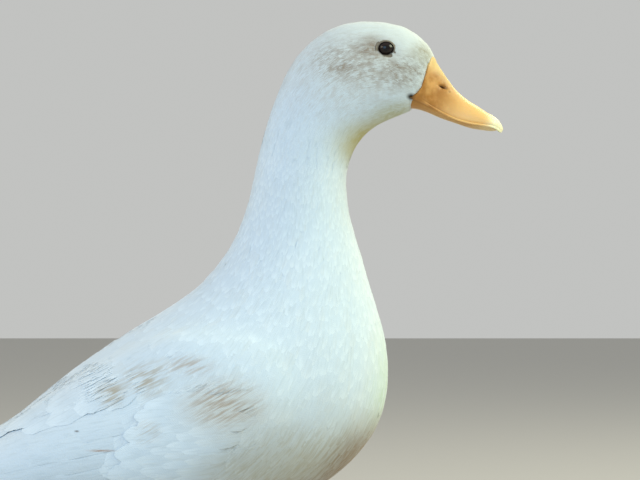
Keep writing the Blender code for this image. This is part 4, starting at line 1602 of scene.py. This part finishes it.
@dataclass(frozen=True)
class BillHorn:
    """Duck bill: leathery orange skin over bone, with a hard pale nail at the tip.

    It is waxy and slightly rough and darker towards the face, with painted shade in its groove and
    hollows and a painted highlight that makes the ridge paler.
    """

    colour: str = "#FFC678"
    # deep darkens the mottles near the face, and is also painted shade in the groove over the rim.
    deep: str = "#B4762C"
    # A painted highlight along the ridge.
    ridge: str = "#FBDD96"
    nail: str = "#FBEFC6"
    # Painted shade in the nostrils, the pit and the mouth's corner.
    dark: str = "#3C2410"
    roughness: float = 0.42
    # Patches and grain per metre: one each 8 mm and each 1.1 mm.
    patches: float = 130.0
    grain: float = 900.0
    # Where the painted shade of the groove over the rim runs and its half width, as shares of the
    # way round.
    groove: tuple[float, float] = (0.418, 0.012)

    def build(self) -> Material:
        """Makes the material from the bill's own map: U along it, V round it."""
        mat = Recipe("bill_leathery_skin")
        lie = mat.add("UVMap", uv_map="Lie")
        along, round_it, _ = mat.add("SeparateXYZ", (lie,)).outputs
        place = mat.add("TexCoord").outputs["Object"]
        cloud = mat.add("TexNoise", {"Vector": place, "Scale": self.patches, "Detail": 4.0})
        grain = mat.add("TexNoise", {"Vector": place, "Scale": self.grain, "Detail": 2.0})
        near_face = mat.add("MapRange", (along, 0.07, 0.40, 1.0, 0.0), **SMOOTH)
        patched = mat.add("MapRange", (cloud, 0.30, 0.60, 0.5))
        mottled = mat.add("Math", (patched, near_face, 0.02), operation="MULTIPLY_ADD")
        centred = mat.add("Math", (round_it, 0.5), operation="SUBTRACT")
        aside = mat.add("Math", (centred,), operation="ABSOLUTE")
        # Painted highlight: paler along the ridge.
        pale = mat.add("MapRange", (aside, 0.02, 0.16, 0.75, 0.0), **SMOOTH)
        # Painted shade in the groove over the rim.
        away = mat.add("Math", (aside, self.groove[0]), operation="SUBTRACT")
        gap = mat.add("Math", (away,), operation="ABSOLUTE")
        groove = mat.add("MapRange", (gap, 0.0, self.groove[1], 0.75, 0.0), **SMOOTH)
        tip = mat.add("MapRange", (along, 0.50, 0.70), **SMOOTH)
        # Painted shade in the nostrils, the pit and the mouth's corner, from the mark that carve
        # makes.
        hollow_shade = mat.add("Attribute", attribute_name="hollow_shade").outputs["Fac"]
        colour = srgb(self.colour)
        for amount, tint in ((mottled, self.deep), (pale, self.ridge), (groove, self.deep),
                             (tip, self.nail), (hollow_shade, self.dark)):
            colour = mat.add("Mix", {"Factor": amount, "A": colour, "B": srgb(tint)},
                             data_type="RGBA")
        height = mat.add("Math", (cloud, 2.0, grain), operation="MULTIPLY_ADD")
        bump = mat.add("Bump", {"Strength": 0.35, "Distance": 0.15 * MM, "Height": height})
        return mat.done({
            "Base Color": colour, "Roughness": self.roughness, "Normal": bump,
            "Subsurface Weight": 0.12, "Subsurface Radius": (4 * MM, 1.8 * MM, 0.8 * MM),
            "Subsurface Scale": 0.5,
        })


@dataclass
class Bill:
    """The bill: the upper half with ridge, nostrils, rim and nail, and the lower half under it."""

    finish: Material
    shaded_lower_finish: Material
    columns: int = 96
    rows: int = 110
    wall: float = 1.1 * MM
    rim: float = 1.7 * MM
    nostril: tuple[float, float] = (15.6 * MM, 29.1 * MM)
    nostril_half: tuple[float, float] = (2.7 * MM, 0.75 * MM)
    nostril_turn: float = math.radians(-27)
    nostril_depth: float = 1.5 * MM
    # The share of the sheet that is drawn back over the face, and of that the part that lies on
    # the face itself, this far over it and with its first edge this deep under the feathers.
    drawn_back: float = 0.107
    hugging: float = 0.6
    proud: float = 0.35 * MM
    bedded: float = 2.0 * MM
    # The share of the way round, from the ridge, where the border meets the forehead's feathers.
    brow: float = 0.16

    # Ridge X and Z, rim X and Z and half width, in millimetres from the box's rear lower corner.
    UPPER = np.array([
        (12.6, 42.6, 0.2, 20.6, 12.5), (18.6, 34.2, 8.6, 16.0, 11.7),
        (24.2, 26.9, 15.6, 12.2, 11.4), (31.0, 21.0, 23.6, 8.6, 12.0),
        (37.4, 17.0, 32.0, 6.2, 13.0), (44.4, 12.3, 40.8, 4.8, 13.2),
        (48.7, 9.2, 46.4, 3.6, 11.4), (51.0, 6.8, 49.4, 2.2, 8.0),
        (52.4, 4.0, 51.2, 1.0, 4.6), (52.7, 2.3, 52.2, 1.3, 0.4),
    ])
    LOWER = np.array([
        (-6.8, 22.4, -7.2, 15.6, 11.8), (0.0, 22.0, -0.6, 15.2, 11.3),
        (7.0, 18.6, 6.2, 13.2, 10.6), (15.0, 14.4, 14.0, 9.8, 10.2),
        (24.0, 10.4, 23.2, 6.6, 10.7), (33.6, 8.0, 33.0, 3.4, 11.7),
        (42.0, 6.8, 41.6, 2.0, 11.4), (46.6, 5.8, 46.3, 1.6, 8.6),
        (49.2, 4.2, 49.0, 2.0, 3.6), (50.0, 3.6, 49.9, 2.8, 0.9),
    ])
    # A height inside the bill, which tells its outer faces from its inner ones.
    HEART = 0.33
    # The flat front of the face: how far behind the bill's box its foot is, and its heights.
    FACE_BACK, FACE_FOOT, FACE_TOP = 4.0 * MM, 13.7 * MM, 42.3 * MM
    # Places on the cross-section from ridge to rim: share of the half width and of the height.
    STEEP = np.array([(0, 1), (0.20, 0.975), (0.37, 0.88), (0.53, 0.71), (0.69, 0.49),
                      (0.83, 0.27), (0.93, 0.08), (0.955, 0.0)])
    FLAT = np.array([(0, 1), (0.26, 0.985), (0.49, 0.94), (0.68, 0.84), (0.83, 0.66),
                     (0.93, 0.40), (0.965, 0.13), (0.955, 0.0)])

    @staticmethod
    def smooth(rows: Array, place: float) -> Array:
        """A smooth curve through the rows of a table."""
        return Spine.between(rows, min(max(place, 0.0), len(rows) - 1.001))

    def upper_point(self, u: float, v: float) -> Array:
        """A point of the upper bill, from the tables' corner.

        Args:
            u: Share of the way from face to tip.
            v: Share of the way from the ridge round the rim.

        Returns:
            The point in metres.
        """
        ridge_x, ridge_z, rim_x, rim_z, half = self.smooth(self.UPPER, u * (len(self.UPPER) - 1))
        ridge, rim = np.array([ridge_x, ridge_z]) * MM, np.array([rim_x, rim_z]) * MM
        height = np.linalg.norm(ridge - rim)
        up = (ridge - rim) / height
        roll = min(self.rim, 0.45 * height)
        flat = float(eased(np.array(u / 0.49)))
        if v < 0.8:
            across, rise = self.smooth(self.STEEP * (1 - flat) + self.FLAT * flat, v / 0.8 * 7)
            lift = roll + (height - roll) * rise
        else:
            w = (v - 0.8) / 0.2
            across = np.interp(w, (0, 0.2, 0.5, 0.8, 1), (0.955, 0.945, 1.0, 0.99, 0.90))
            lift = np.interp(w, (0, 0.2, 0.5, 0.8, 1), (1, 0.75, 0.40, 0.05, -0.05)) * roll
        place = rim + up * lift
        return np.array([place[0], half * MM * across, place[1]])

    def lower_point(self, u: float, v: float) -> Array:
        """A point of the lower bill, from the tables' corner.

        Args:
            u: Share of the way from face to tip.
            v: Share of the way from under its middle to its edge.

        Returns:
            The point in metres.
        """
        top_x, top_z, low_x, low_z, half = self.smooth(self.LOWER, u * (len(self.LOWER) - 1))
        turn = v * math.pi / 2
        across = math.sin(turn) ** 0.8
        rise = 1 - math.cos(turn) ** 0.7
        x, z = low_x + (top_x - low_x) * rise, low_z + (top_z - low_z) * rise
        return np.array([x, half * across, z]) * MM

    def sheet(self, name: str, pick: Callable[[float, float], Array],
              origin: Array) -> Object:
        """Shapes a flat grid into a bill half, with its own map along and round it.

        Args:
            name: The piece's name.
            pick: Gives the half's point at a place along it and round one side of it.
            origin: The corner that the tables' places start from.

        Returns:
            The open sheet.
        """
        bpy.ops.object.select_all(action="DESELECT")
        bpy.ops.mesh.primitive_grid_add(x_subdivisions=self.rows, y_subdivisions=self.columns,
                                        size=2, location=(0, 0, 0))
        piece = bpy.context.object
        piece.name = piece.data.name = name
        mesh = piece.data
        flat = numbers(mesh.vertices, "co")
        mesh.uv_layers[0].name = "Lie"
        shaped = np.empty_like(flat)
        for i, (x, y, _) in enumerate(flat):
            point = pick((x + 1) / 2, abs(y))
            shaped[i] = origin + point * (1, 1 if y > 0 else -1, 1)
        place_vertices(mesh, shaped)
        return piece

    def hug_face(self, piece: Object) -> None:
        """Draws the sheet's rear end back over the cheeks to the feathers' border."""
        tree = surface("head")
        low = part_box("bill_upper")[0]
        line = BillBorder.line()
        stops = line[::-1][:7]
        ridge = np.array([low.x + BillBorder.POINT[0], low.z + BillBorder.POINT[1]])
        corner = self.on_head(tree, line[-1], None)[0][1]
        grid = numbers(piece.data.vertices, "co").reshape(self.columns + 1, self.rows + 1, 3)
        count = int(self.drawn_back * self.rows)
        for column in range(self.columns + 1):
            v = abs(column / self.columns * 2 - 1)
            target = grid[column, count].copy()
            if v < self.brow:
                edge = ridge + (line[-1] - ridge) * (v / self.brow)
            else:
                edge = self.smooth(stops, (v - self.brow) / (1 - self.brow) * 6)
            side = 1 if target[1] > 0 else -1
            crossing = self.face_share(edge, target)
            for row in range(count + 1):
                f = row / count
                if f <= self.hugging:
                    share = f / self.hugging * crossing
                    x, z = edge + (target[[0, 2]] - edge) * share
                    aside = None
                    if v < self.brow:
                        aside = corner * v / self.brow * (1 - share) + abs(target[1]) * share
                    place, normal = self.on_head(tree, (x, z), aside)
                    touch = place + normal * self.proud
                    if row == 0:
                        touch = touch - normal * self.bedded - (0.5 * MM, 0, 0)
                    spot = touch
                else:
                    share = (f - self.hugging) / (1 - self.hugging)
                    spot = touch + (np.abs(target) - touch) * share
                grid[column, row] = spot
                grid[column, row, 1] = side * abs(spot[1]) if v > 0.02 else 0.0
        place_vertices(piece.data, grid.reshape(-1, 3))

    @staticmethod
    def on_head(tree: BVHTree, place: tuple[float, float],
                aside: float | None) -> tuple[Array, Array]:
        """A place on the head's left half and the way it faces.

        Args:
            tree: The head's surface.
            place: X and Z, as seen from the side.
            aside: The distance from the middle, where the place is looked for from above.

        Returns:
            The place and its normal.
        """
        x, z = place
        if aside is None:
            met = tree.ray_cast(Vector((x, 0.1, z)), Vector((0, -1, 0)))
        else:
            met = tree.ray_cast(Vector((x, aside, 0.45)), Vector((0, 0, -1)))
        if met[0] is None:
            met = tree.find_nearest(Vector((x, aside or 0.01, z)))
        return np.array(met[0]), np.array(met[1])

    @classmethod
    def face_share(cls, edge: Array, target: Array) -> float:
        """How far along a line from the border to the bill the flat front of the face is met.

        Args:
            edge: X and Z where the line leaves the border.
            target: The line's end on the bill.

        Returns:
            The share of the line.
        """
        low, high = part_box("bill_upper")[0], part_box("head")
        foot = np.array([low.x - cls.FACE_BACK, low.z + cls.FACE_FOOT])
        top = np.array([high[1].x, low.z + cls.FACE_TOP])
        across = np.array([top[1] - foot[1], foot[0] - top[0]])
        start = (edge - foot) @ across
        end = (target[[0, 2]] - foot) @ across
        return float(np.clip(start / (start - end), 0.02, 0.98)) * 0.97

    def carve(self, piece: Object, origin: Array) -> None:
        """Sinks the nostrils and raises the nail, and marks the hollows for the material's painted
        shade.

        Args:
            piece: The upper bill's sheet.
            origin: The corner that the tables' places start from.
        """
        mesh = piece.data
        co, normals = numbers(mesh.vertices, "co"), numbers(mesh.vertices, "normal")
        out = np.where((normals[:, 1] * co[:, 1] < 0)[:, None], -normals, normals)
        away = np.stack([co[:, 0] - origin[0] - self.nostril[0],
                         co[:, 2] - origin[2] - self.nostril[1]], axis=1)
        cos, sin = math.cos(self.nostril_turn), math.sin(self.nostril_turn)
        lengthwise = (away[:, 0] * cos + away[:, 1] * sin) / self.nostril_half[0]
        crosswise = (-away[:, 0] * sin + away[:, 1] * cos) / self.nostril_half[1]
        slit = np.hypot(lengthwise, crosswise)
        dish = np.hypot(lengthwise / 1.9, crosswise / 3.2)
        side = np.abs(co[:, 1]) > 1.5 * MM
        sink = self.nostril_depth * eased(1.35 - slit) * side
        sink = sink + 0.45 * MM * eased(1.1 - dish) * side
        sink = sink - 0.22 * MM * eased(1 - np.abs(slit - 1.75) / 0.7) * side
        pit = np.hypot(away[:, 0] - 4.2 * MM, away[:, 1] + 3.2 * MM) / (0.9 * MM)
        sink = sink + 0.25 * MM * eased(1.2 - pit) * side
        from_tip = (CAD_BOX[1].x - co[:, 0]) / (9.5 * MM)
        nail = eased((1 - np.hypot(from_tip, co[:, 1] / (4.6 * MM))) / 0.25)
        sink = sink - 0.45 * MM * nail
        co -= out * sink[:, None]
        place_vertices(mesh, co)
        # Painted shade: the nostril slits, the pit and the mouth's corner are marked to be
        # darkened, as if in shadow.
        depth = eased(1.25 - slit) * side + 0.4 * eased(1.1 - pit) * side
        corner = BillBorder.line()[2] + (0.4 * MM, -0.2 * MM)
        away = np.hypot(co[:, 0] - corner[0], (co[:, 2] - corner[1]) * 1.3) / (3.0 * MM)
        depth = depth + 0.85 * eased(1.2 - away)
        mark(mesh, "hollow_shade", np.clip(depth, 0, 1))

    def close(self, piece: Object, stands_for: str,
              finish: Material) -> None:
        """Gives the sheet its wall and its finish.

        Args:
            piece: The open sheet.
            stands_for: The CAD node that it replaces.
            finish: Its material.
        """
        with editing(piece):
            bpy.ops.mesh.remove_doubles(threshold=MERGE)
            bpy.ops.mesh.normals_make_consistent(inside=False)
        outward = sum((p.center.z - self.HEART) * p.normal.z + p.center.y * p.normal.y
                      for p in piece.data.polygons)
        if outward < 0:
            piece.data.flip_normals()
        wall = piece.modifiers.new("wall", "SOLIDIFY")
        wall.thickness = self.wall
        wall.offset = -1
        bpy.ops.object.modifier_apply(modifier="wall")
        bpy.ops.object.shade_smooth_by_angle(angle=math.radians(50))
        finish_piece(piece, finish, (stands_for,))

    def build(self) -> None:
        """Makes both halves."""
        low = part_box("bill_upper")[0]
        origin = np.array([low.x, 0, low.z])
        upper = self.sheet("bill_upper_skin", self.upper_point, origin)
        self.hug_face(upper)
        self.carve(upper, origin)
        self.close(upper, "bill_upper", self.finish)
        lower = self.sheet("bill_lower_skin", self.lower_point, origin)
        self.close(lower, "bill_lower", self.shaded_lower_finish)


@dataclass(frozen=True)
class ScalyLegSkin:
    """A duck's leg: tough orange skin in plates and small scales, and thinner skin in the webs.

    The plates are faintly glossy, and brown dust lies in the lines between them.
    """

    colour: str = "#E6923A"
    pale: str = "#F0AE62"
    web: str = "#D9822F"
    line: str = "#6E4620"
    dust: str = "#A08862"
    roughness: float = 0.48
    # Patches and grain per metre: one each 6 mm and each 0.7 mm.
    patches: float = 160.0
    grain: float = 1500.0
    # Below the first height all is dusty, above the second hardly anything.
    dusty_heights: tuple[float, float] = (2 * MM, 16 * MM)

    def build(self) -> Material:
        """Makes the material from the leg's own marks: "line" between scales and "web"."""
        mat = Recipe("scaly_leg_skin")
        place = mat.add("TexCoord").outputs["Object"]
        cloud = mat.add("TexNoise", {"Vector": place, "Scale": self.patches, "Detail": 4.0})
        grain = mat.add("TexNoise", {"Vector": place, "Scale": self.grain, "Detail": 2.0})
        line = mat.add("Attribute", attribute_name="line").outputs["Fac"]
        web = mat.add("Attribute", attribute_name="web").outputs["Fac"]
        height = mat.add("SeparateXYZ", (place,)).outputs["Z"]
        near_floor = mat.add("MapRange", (height, *self.dusty_heights, 0.75, 0.12))
        dusty = mat.add("Math", (cloud, near_floor), operation="MULTIPLY")
        faint = mat.add("Math", (line, 0.5), operation="MULTIPLY")
        colour = srgb(self.colour)
        for amount, tint in ((cloud, self.pale), (web, self.web), (dusty, self.dust),
                             (faint, self.line)):
            colour = mat.add("Mix", {"Factor": amount, "A": colour, "B": srgb(tint)},
                             data_type="RGBA")
        bump = mat.add("Bump", {"Strength": 0.3, "Distance": 0.1 * MM, "Height": grain})
        return mat.done({
            "Base Color": colour, "Roughness": self.roughness, "Normal": bump,
            "Subsurface Weight": 0.1, "Subsurface Radius": (3 * MM, 1.2 * MM, 0.6 * MM),
            "Subsurface Scale": 0.5,
        })


@dataclass(frozen=True)
class ClawHorn:
    """Claw keratin: hard and smooth, brown at the root and paler where it is worn."""

    colour: str = "#6B5238"
    worn: str = "#A98A62"
    # Growth lines per metre: one each 1.4 mm.
    growth: float = 700.0

    def build(self) -> Material:
        """Makes the material with fine growth lines."""
        mat = Recipe("claw_keratin")
        place = mat.add("TexCoord").outputs["Object"]
        fine = mat.add("TexNoise", {"Vector": place, "Scale": self.growth, "Detail": 3.0})
        colour = mat.add("Mix", {
            "Factor": fine, "A": srgb(self.colour), "B": srgb(self.worn),
        }, data_type="RGBA")
        bump = mat.add("Bump", {"Strength": 0.25, "Distance": 0.1 * MM, "Height": fine})
        return mat.done({"Base Color": colour, "Roughness": 0.38, "Normal": bump})


@dataclass
class Leg:
    """One leg from the hock down: a scaly shank, three webbed toes, the hind toe and the claws."""

    side: str
    finish: Material
    claw_finish: Material
    voxel: float = 0.5 * MM
    smoothings: int = 10
    # The solids grow by this much to meet one another, and shrink back once they are one.
    swell: float = 0.9 * MM
    # Lengths of the big plates on the shank's front and on the toes' backs.
    shank_plate: float = 2.7 * MM
    toe_plate: float = 2.1 * MM
    toe_half_width: float = 3.6 * MM
    plate_rise: float = 0.26 * MM
    scale_size: float = 1.25 * MM
    scale_rise: float = 0.16 * MM
    web_size: float = 0.95 * MM
    web_rise: float = 0.05 * MM
    # The height of the ankle, and how softly shank and foot meet there.
    ankle: float = 12.5 * MM
    ankle_fade: float = 3 * MM
    # The sole stays this far over the floor.
    floor_gap: float = 0.02 * MM
    # How far the shank runs up under the drumstick's feathers, and over what length it grows.
    hidden_length: float = 6 * MM
    grown_over: float = 12 * MM
    # Where the toes part: back from the shank's front and out from its middle.
    parting: tuple[float, float] = (5 * MM, 1.3 * MM)
    # The hind edge of the foot lies this far behind the place that all claws point away from.
    claw_centre: float = 15 * MM
    # How far the claws' roots are drawn back into the toes, and how much wider they are made.
    claw_root: float = 3.0 * MM
    claw_wider: float = 0.3

    def build(self) -> None:
        """Makes the leg's skin and its claws."""
        nodes = tuple(f"{part}_{self.side}" for part in ("shank", "foot"))
        piece = joined_copies(nodes, f"leg_skin_{self.side}")
        melt(piece, self.swell, self.voxel, self.smoothings, self.swell)
        self.scales(piece.data)
        piece.data.shade_smooth()
        finish_piece(piece, self.finish, nodes)
        self.claws()

    def scales(self, mesh: Mesh) -> None:
        """Raises plates and scales on the leg and marks the lines between them."""
        co, normals = numbers(mesh.vertices, "co"), numbers(mesh.vertices, "normal")
        on_shank = eased((co[:, 2] - self.ankle) / self.ankle_fade + 0.5)
        front = eased((normals[:, 0] + 0.15) / 0.35) * on_shank
        plates = self.groove(co[:, 2] / self.shank_plate)
        toe, along = self.toes(co)
        toe = toe * eased((normals[:, 2] - 0.1) / 0.4) * (1 - on_shank)
        rings = self.groove(along / self.toe_plate)
        web = (1 - on_shank) * (1 - toe)
        small = self.cells(co, self.scale_size)
        fine = self.cells(co, self.web_size)
        line = plates * front + rings * toe + small * (on_shank - front)
        sink = (plates * front + rings * toe) * self.plate_rise
        sink += small * (on_shank - front) * self.scale_rise + fine * web * self.web_rise
        co -= normals * sink[:, None]
        co[:, 2] = np.maximum(co[:, 2], self.floor_gap)
        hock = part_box(f"shank_{self.side}")[1].z
        co[:, 2] += self.hidden_length * eased((co[:, 2] - hock) / self.grown_over + 1)
        place_vertices(mesh, co)
        mark(mesh, "line", np.clip(line + 0.5 * fine * web, 0, 1))
        mark(mesh, "web", np.clip(web, 0, 1))

    @staticmethod
    def groove(turns: Array) -> Array:
        """1 in the line between two plates and 0 on them, where each plate is one turn."""
        return eased((np.abs(turns % 1 - 0.5) * 2 - 0.62) / 0.38)

    @staticmethod
    def cells(points: Array, size: float) -> Array:
        """1 on the borders between small scales of a size and 0 on them."""
        near = np.array([noise.voronoi(Vector(p), distance_metric="DISTANCE")[0][:2]
                         for p in (points / size).tolist()])
        return eased(1 - (near[:, 1] - near[:, 0]) / 0.28)

    def toes(self, points: Array) -> tuple[Array, Array]:
        """How much each place is on a toe, and how far along that toe it is.

        Args:
            points: Places in metres, one a row.

        Returns:
            A number from 0 to 1, and the distance from where the toes part.
        """
        low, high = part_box(f"shank_{self.side}")
        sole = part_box(f"foot_{self.side}")
        back, out = self.parting
        start = np.array([high.x - back, (low.y + high.y) / 2 + SIDES[self.side] * out])
        nearest = np.full(len(points), 1.0)
        along = np.zeros(len(points))
        for toe in TOES:
            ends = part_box(f"claw_{self.side}_{toe}")
            end = np.array(((ends[0] + ends[1]) / 2)[:2])
            run = (end - start) / np.linalg.norm(end - start)
            reach = (points[:, :2] - start) @ run
            aside = np.abs((points[:, :2] - start) @ np.array([-run[1], run[0]]))
            aside = np.where(reach < 0, 1.0, aside)
            closer = aside < nearest
            nearest = np.where(closer, aside, nearest)
            along = np.where(closer, reach, along)
        on_toe = eased((self.toe_half_width - nearest) / (1.2 * MM))
        return on_toe * (points[:, 2] > sole[0].z + 1.8 * MM), along

    def claws(self) -> None:
        """Rounds off the four claws."""
        nodes = tuple(f"claw_{self.side}_{toe}" for toe in TOES)
        piece = joined_copies(nodes, f"claws_{self.side}")
        finer = piece.modifiers.new("finer", "SUBSURF")
        finer.levels = finer.render_levels = 2
        bpy.ops.object.modifier_apply(modifier="finer")
        co = numbers(piece.data.vertices, "co")
        low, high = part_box(f"foot_{self.side}")
        root = np.array([low.x + self.claw_centre, (low.y + high.y) / 2])
        boxes = [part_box(node) for node in nodes]
        middles = np.array([((box[0] + box[1]) / 2)[:] for box in boxes])
        which = np.linalg.norm(co[:, None] - middles[None], axis=2).argmin(axis=1)
        for k, middle in enumerate(middles):
            out = unit(middle[:2] - root)
            own = which == k
            reach = (co[own, :2] - middle[:2]) @ out
            tip, length = reach.max(), np.ptp(reach)
            back = (tip - reach) / length
            co[own, :2] -= out * (back * self.claw_root)[:, None]
            away = co[own, :2] - middle[:2]
            co[own, :2] += (away - out * (away @ out)[:, None]) * self.claw_wider
        place_vertices(piece.data, co)
        piece.data.shade_smooth()
        finish_piece(piece, self.claw_finish, nodes)


@dataclass(frozen=True)
class EyeGloss:
    """A duck's eye: a very dark brown iris and a black pupil under a wet, clear cornea."""

    iris: str = "#2B1812"
    rim: str = "#160C0A"
    pupil: str = "#050405"
    # Where pupil, iris and dark rim are, as shares of the eye's half width.
    pupil_edge: float = 0.40
    iris_start: float = 0.50
    rim_start: float = 0.95
    # The iris's mottles per metre: one each 1.1 mm.
    mottles: float = 900.0

    def build(self, eye: Eye) -> Material:
        """Makes the material, with the iris centred on the eye's outer pole."""
        mat = Recipe(f"wet_eye_{eye.side}")
        place = mat.add("TexCoord").outputs["Object"]
        pole = (eye.centre.x, eye.centre.y + SIDES[eye.side] * eye.radius, eye.centre.z)
        away = mat.add("VectorMath", (place, pole), operation="DISTANCE")
        share = mat.add("Math", (away, eye.half_width), operation="DIVIDE")
        mottled = mat.add("TexNoise", {"Vector": place, "Scale": self.mottles, "Detail": 3.0})
        rings = mat.add("ValToRGB", {"Fac": share})
        stops = rings.color_ramp.elements
        stops[0].position, stops[0].color = self.pupil_edge, srgb(self.pupil)
        stops[1].position, stops[1].color = self.iris_start, srgb(self.iris)
        stops.new(self.rim_start).color = srgb(self.rim)
        colour = mat.add("Mix", {"Factor": mottled, "A": rings, "B": srgb(self.rim)},
                         data_type="RGBA")
        return mat.done({
            "Base Color": colour, "Roughness": 0.12, "Specular IOR Level": 0.2,
            "Coat Weight": 0.3, "Coat Roughness": 0.02,
        })


@dataclass(frozen=True)
class LidSkin:
    """Bare eyelid skin: thin and finely wrinkled, dark at its rim, paler towards the feathers."""

    colour: str = "#8E8270"
    crease: str = "#655A4A"
    rim: str = "#33291F"
    # Wrinkles per metre: one each 0.9 mm.
    wrinkles: float = 1100.0

    def build(self) -> Material:
        """Makes the material."""
        mat = Recipe("eyelid_skin")
        place = mat.add("TexCoord").outputs["Object"]
        wrinkled = mat.add("TexNoise", {"Vector": place, "Scale": self.wrinkles, "Detail": 3.0})
        rim = mat.add("Attribute", attribute_name="rim").outputs["Fac"]
        colour = srgb(self.colour)
        for amount, tint in ((wrinkled, self.crease), (rim, self.rim)):
            colour = mat.add("Mix", {"Factor": amount, "A": colour, "B": srgb(tint)},
                             data_type="RGBA")
        bump = mat.add("Bump", {"Strength": 0.5, "Distance": 0.1 * MM, "Height": wrinkled})
        return mat.done({"Base Color": colour, "Roughness": 0.6, "Normal": bump})


@dataclass
class EyeSet:
    """One eyeball with the ring of its lids."""

    eye: Eye
    lid_finish: Material
    around: int = 64
    # How far outside the opening the rings of the lids lie, in millimetres.
    offsets: tuple[float, ...] = (0.0, 0.2, 0.45, 0.8, 1.4, 2.2)
    # How deep the last ring lies under the head's solid.
    sunk: float = 0.6 * MM
    # The lip: its height, and its place and width outside the opening.
    lip: float = 0.42 * MM
    lip_place: float = 0.35 * MM
    # How far the lids clear the ball, how thick they are and how wide their dark rim is.
    gap: float = 0.10 * MM
    thickness: float = 0.8 * MM
    rim: float = 0.75 * MM

    def build(self) -> None:
        """Makes the ball and its lids."""
        eye = self.eye
        bpy.ops.object.select_all(action="DESELECT")
        bpy.ops.mesh.primitive_uv_sphere_add(segments=48, ring_count=32, radius=eye.radius,
                                             location=eye.centre)
        ball = bpy.context.object
        ball.name = ball.data.name = f"eyeball_{eye.side}"
        ball.scale = (eye.long, 1.0, eye.tall)
        bpy.ops.object.transform_apply(location=True, rotation=True, scale=True)
        ball.data.shade_smooth()
        finish_piece(ball, EyeGloss().build(eye), (f"eye_{eye.side}",))
        self.lids()

    def lids(self) -> None:
        """Shapes a ring of tube into both lids, from the ball out under the feathers."""
        eye, side = self.eye, SIDES[self.eye.side]
        bpy.ops.object.select_all(action="DESELECT")
        bpy.ops.mesh.primitive_torus_add(major_segments=self.around, minor_segments=12,
                                         major_radius=1, minor_radius=0.25, location=(0, 0, 0))
        ring = bpy.context.object
        ring.name = ring.data.name = f"eyelids_{eye.side}"
        co = numbers(ring.data.vertices, "co")
        turn = np.arctan2(co[:, 1], co[:, 0])
        within = np.hypot(co[:, 0], co[:, 1]) - 1
        roll = np.arctan2(co[:, 2], -within)
        tree = surface("head")
        middle = np.array([eye.centre.x, eye.centre.z])
        span = np.array([eye.half_width, eye.half_height])
        last = self.offsets[-1] * MM
        rim = np.zeros(len(co))
        for i, (phi, psi) in enumerate(zip(turn, roll)):
            step = abs(psi) / math.pi * (len(self.offsets) - 1)
            offset = float(np.interp(step, range(len(self.offsets)), self.offsets)) * MM
            run = np.array([math.cos(phi), math.sin(phi)])
            x, z = middle + run * (span + offset)
            share = np.linalg.norm(run * span / (eye.radius * np.array([eye.long, eye.tall])))
            inner = abs(eye.centre.y) + eye.radius * math.sqrt(1 - share ** 2)
            edge = middle + run * (span + last)
            met = tree.ray_cast(Vector((edge[0], side * 0.1, edge[1])), Vector((0, -side, 0)))
            outer = abs(met[0].y) - self.sunk
            share = float(eased(np.array(offset / last)))
            lip = self.lip * math.exp(-((offset - self.lip_place) / self.lip_place) ** 2)
            y = max(inner * (1 - share) + outer * share, 0) + lip + self.gap
            if psi < 0:
                y -= self.thickness
            co[i] = (x, side * y, z)
            rim[i] = eased(np.array(1 - offset / self.rim))
        mark(ring.data, "rim", rim)
        place_vertices(ring.data, co)
        with editing(ring):
            bpy.ops.mesh.normals_make_consistent(inside=False)
        ring.data.shade_smooth()
        finish_piece(ring, self.lid_finish)


def main() -> None:
    """Builds the duck piece by piece, then the studio."""
    logging.basicConfig(level=logging.INFO, format="%(relativeCreated)6d ms %(message)s")
    spine = Spine()
    skin = Skin(spine, CoatDepth(spine))
    finish = WhiteFeather().build()
    finish_piece(skin.piece, finish, FLESH)
    LOG.info("skin ready")
    plumage = Plumage(skin, finish)
    LOG.info("unwrapped")
    coat = Coat(skin)
    LOG.info("%d roots", len(coat.roots.place))
    share = coat.along / spine.length
    hidden = FoldedWing.covers(coat.roots.place)
    hidden &= FoldedWing.covers(coat.roots.place + coat.roots.aim * coat.roots.length[:, None])
    for name, low, high, form in (
        ("feathers_face", -1, 0.03, PLUME),
        ("feathers_cheek", 0.03, 0.055, PLUME),
        ("feathers_head", 0.055, 0.11, PLUME),
        ("feathers_nape", 0.11, 0.18, PLUME),
        ("feathers_neck_upper", 0.18, 0.24, FINE),
        ("feathers_neck", 0.24, 0.33, FINE),
        ("feathers_breast", 0.33, 0.47, BROAD),
        ("feathers_body", 0.47, 0.66, BROAD),
        ("feathers_rear", 0.66, 2, BROAD),
    ):
        chosen = (share > low) & (share <= high) & ~hidden
        plumage.feathers(name, coat.roots.pick(chosen), form, seed=3)
    wide = (share > 0.33) & ~hidden
    plumage.feathers("down_body", coat.roots.pick(wide).under(), DOWN, seed=4)
    strands = coat.strands(14000, seed=6)
    half = np.arange(len(strands.place)) % 2 == 0
    plumage.feathers("barbs_one", strands.pick(half), STRAND, seed=5, snug=0.2)
    plumage.feathers("barbs_two", strands.pick(~half), STRAND, seed=8, snug=0.2)
    for side in SIDES:
        Wing(side, skin, plumage).build()
    Tail(plumage).build()
    # The lower half is the same horn with a darker colour and nail as painted shade, for lying in
    # the upper half's shadow.
    Bill(BillHorn().build(), BillHorn(colour="#C8924E", nail="#E0C08A").build()).build()
    leg_finish, claw_finish = ScalyLegSkin().build(), ClawHorn().build()
    for side in SIDES:
        Leg(side, leg_finish, claw_finish).build()
    lid_finish = LidSkin().build()
    for side in SIDES:
        EyeSet(Eye(side), lid_finish).build()
    Studio().build()


if __name__ == "__main__":
    main()
